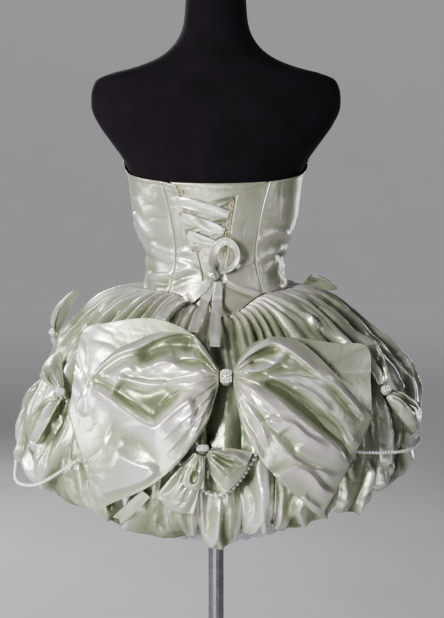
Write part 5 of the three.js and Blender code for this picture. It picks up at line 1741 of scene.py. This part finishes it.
def build_strands():
    """Bead strands hang on the highest folds of the part's own skirt, as its tubes do."""
    tree = tree_of(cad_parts["skirt"])
    far = 500

    def skirt_radius(angle, z):
        """Radius of the highest fold within a few degrees, met by rays from outside."""
        radius = 0
        for k in range(-5, 6):
            for lift in (-1, 0, 1):
                start = around(angle + k / 5 * FOLD_LOOKOUT * DEGREE, far, z + lift)
                inward = -unit(start * (1, 1, 0))
                hit = tree.ray_cast(Vector(start), Vector(inward))
                if hit[0] is not None:
                    radius = max(radius, far - hit[3])
        return radius

    strands = []
    for swag in SWAGS:
        sweep = np.sign(swag["end"] - swag["start"])
        start = swag["start"] + sweep * STRAND_END_TRIM
        end = swag["end"] - sweep * STRAND_END_TRIM
        route = []
        for share in np.linspace(0, 1, 23):
            line = mix(swag["start_z"], swag["end_z"], share)
            drop = (swag["start_z"] + swag["end_z"]) / 2 - swag["low"]
            z = line - drop * 4 * share * (1 - share)
            angle = mix(start, end, share) * DEGREE
            widest = envelope(angle, row_at_height(angle, np.array(z), 3, 8.4))[2]
            route.append(around(angle, skirt_radius(angle, widest) + BEAD_RADIUS + swag["gap"], z))
        route = np.array(route)
        for _ in range(STRAND_SMOOTHING):
            route[1:-1] = (route[:-2] + 2 * route[1:-1] + route[2:]) / 4
        line = spline(route, 300)
        length = np.linalg.norm(np.diff(line, axis=0), axis=1).sum()
        count = int(length / BEAD_PITCH) + 1
        centres = resample(line, count)
        parts = [beads_at(centres, BEAD_RADIUS), tube(line[::3], 0.5, 6)]
        points, faces = joined(parts)
        strand = add_mesh(swag["name"] + "_beads", points, faces, BEAD)
        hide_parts(swag["name"])
        strands.append(strand)
    return strands


# Stage, light and camera

TARGET = Vector((-0.010, 0.0, 0.960))
DISTANCE = 2.6
ELEVATION = 8 * DEGREE
FOCAL_PIXELS = 1576
LONG_SIDE_PIXELS = 618
SENSOR = 36
WALL_GLOW = 0.22


def build_stage():
    """A pale floor that bends up into a far wall, which glows a little so that it stays pale."""
    floor_material, nodes, links, shader = new_material("floor")
    shade = texture(nodes, links, "ShaderNodeTexNoise", 3, 3)
    stops = [(0.3, (0.4, 0.4, 0.41)), (0.7, (0.43, 0.43, 0.44))]
    links.new(ramp(nodes, links, shade, stops), shader.inputs["Base Color"])
    shader.inputs["Roughness"].default_value = 0.85
    glow = nodes.new("ShaderNodeAttribute")
    glow.attribute_name = "glow"
    links.new(glow.outputs["Fac"], shader.inputs["Emission Strength"])
    shader.inputs["Emission Color"].default_value = (0.98, 0.98, 1.0, 1)
    depth, height, bend, half_width = 9.0, 8.0, 2.0, 10.0
    profile = [(y, 0.0) for y in np.linspace(depth, bend - depth, 33)]
    for k in range(1, 13):
        turn = k / 12 * math.pi / 2
        profile.append((-depth + bend - bend * math.sin(turn), bend - bend * math.cos(turn)))
    profile.append((-depth, height))
    points = [(x, y, z) for y, z in profile for x in (-half_width, half_width)]
    faces = [(2 * k, 2 * k + 1, 2 * k + 3, 2 * k + 2) for k in range(len(profile) - 1)]
    mesh = bpy.data.meshes.new("backdrop")
    mesh.from_pydata(points, [], faces)
    mesh.shade_smooth()
    mesh.materials.append(floor_material)
    values = [WALL_GLOW * float(smooth((-y - 0.5) / 6)) for x, y, z in points]
    mesh.attributes.new("glow", "FLOAT", "POINT").data.foreach_set("value", values)
    backdrop = bpy.data.objects.new("backdrop", mesh)
    bpy.context.scene.collection.objects.link(backdrop)


LIGHTS = table(
    "name place size power colour",
    ("key", (1.5, 2.5, 1.7), (0.6, 0.8), 100, (1.0, 0.975, 0.93)),
    ("side", (2.5, 0.5, 1.4), (0.4, 1.2), 24, (1.0, 0.98, 1.0)),
    ("fill", (-2.1, 1.5, 1.3), (0.4, 1.4), 5, (0.94, 0.93, 1.0)),
    ("top", (0.3, 0.3, 2.8), (0.8, 0.8), 1.5, (0.98, 0.96, 1.0)),
    ("low", (0.4, 2.4, 0.2), (1.2, 0.3), 11, (1.0, 0.98, 1.0)),
    ("front_key", (1.4, -2.3, 1.9), (0.8, 1.2), 66, (1.0, 0.98, 0.98)),
    ("front_fill", (-1.9, -1.7, 1.1), (0.6, 1.6), 16, (0.95, 0.95, 1.0)),
)
LIGHTS_AIM = Vector((0, 0, 0.9))


def add_light(name, place, size, power, colour):
    light = bpy.data.lights.new(name, "AREA")
    light.shape = "RECTANGLE"
    light.size, light.size_y = size
    light.energy = power
    light.color = colour
    obj = bpy.data.objects.new(name, light)
    bpy.context.scene.collection.objects.link(obj)
    obj.location = place
    aim = LIGHTS_AIM - Vector(place)
    obj.rotation_euler = aim.to_track_quat("-Z", "Y").to_euler()


def build_lights():
    world = bpy.data.worlds.new("studio")
    bpy.context.scene.world = world
    world.use_nodes = True
    background = world.node_tree.nodes["Background"]
    background.inputs["Color"].default_value = (0.86, 0.87, 0.9, 1)
    background.inputs["Strength"].default_value = 0.05
    for light in LIGHTS:
        add_light(**light)


def build_camera():
    camera = bpy.data.cameras.new("camera")
    camera.sensor_width = SENSOR
    camera.lens = SENSOR * FOCAL_PIXELS / LONG_SIDE_PIXELS
    obj = bpy.data.objects.new("camera", camera)
    bpy.context.scene.collection.objects.link(obj)
    away = Vector((0, math.cos(ELEVATION), math.sin(ELEVATION)))
    obj.location = TARGET + away * DISTANCE
    obj.rotation_euler = (-away).to_track_quat("-Z", "Y").to_euler()
    bpy.context.scene.camera = obj
    bpy.context.scene.view_settings.look = "AgX - Medium High Contrast"


build_camera()
build_lights()
build_stage()
strands = build_strands()
build_form()
build_bodice()
build_stitches()
tails = build_corset_bow()
build_lacing()
build_piping()
build_big_bow()
small_bows = build_small_bows()
bow_tail = build_ribbon_tail()
build_underskirt()
build_lace()
build_skirt(strands + small_bows + tails + [bow_tail])
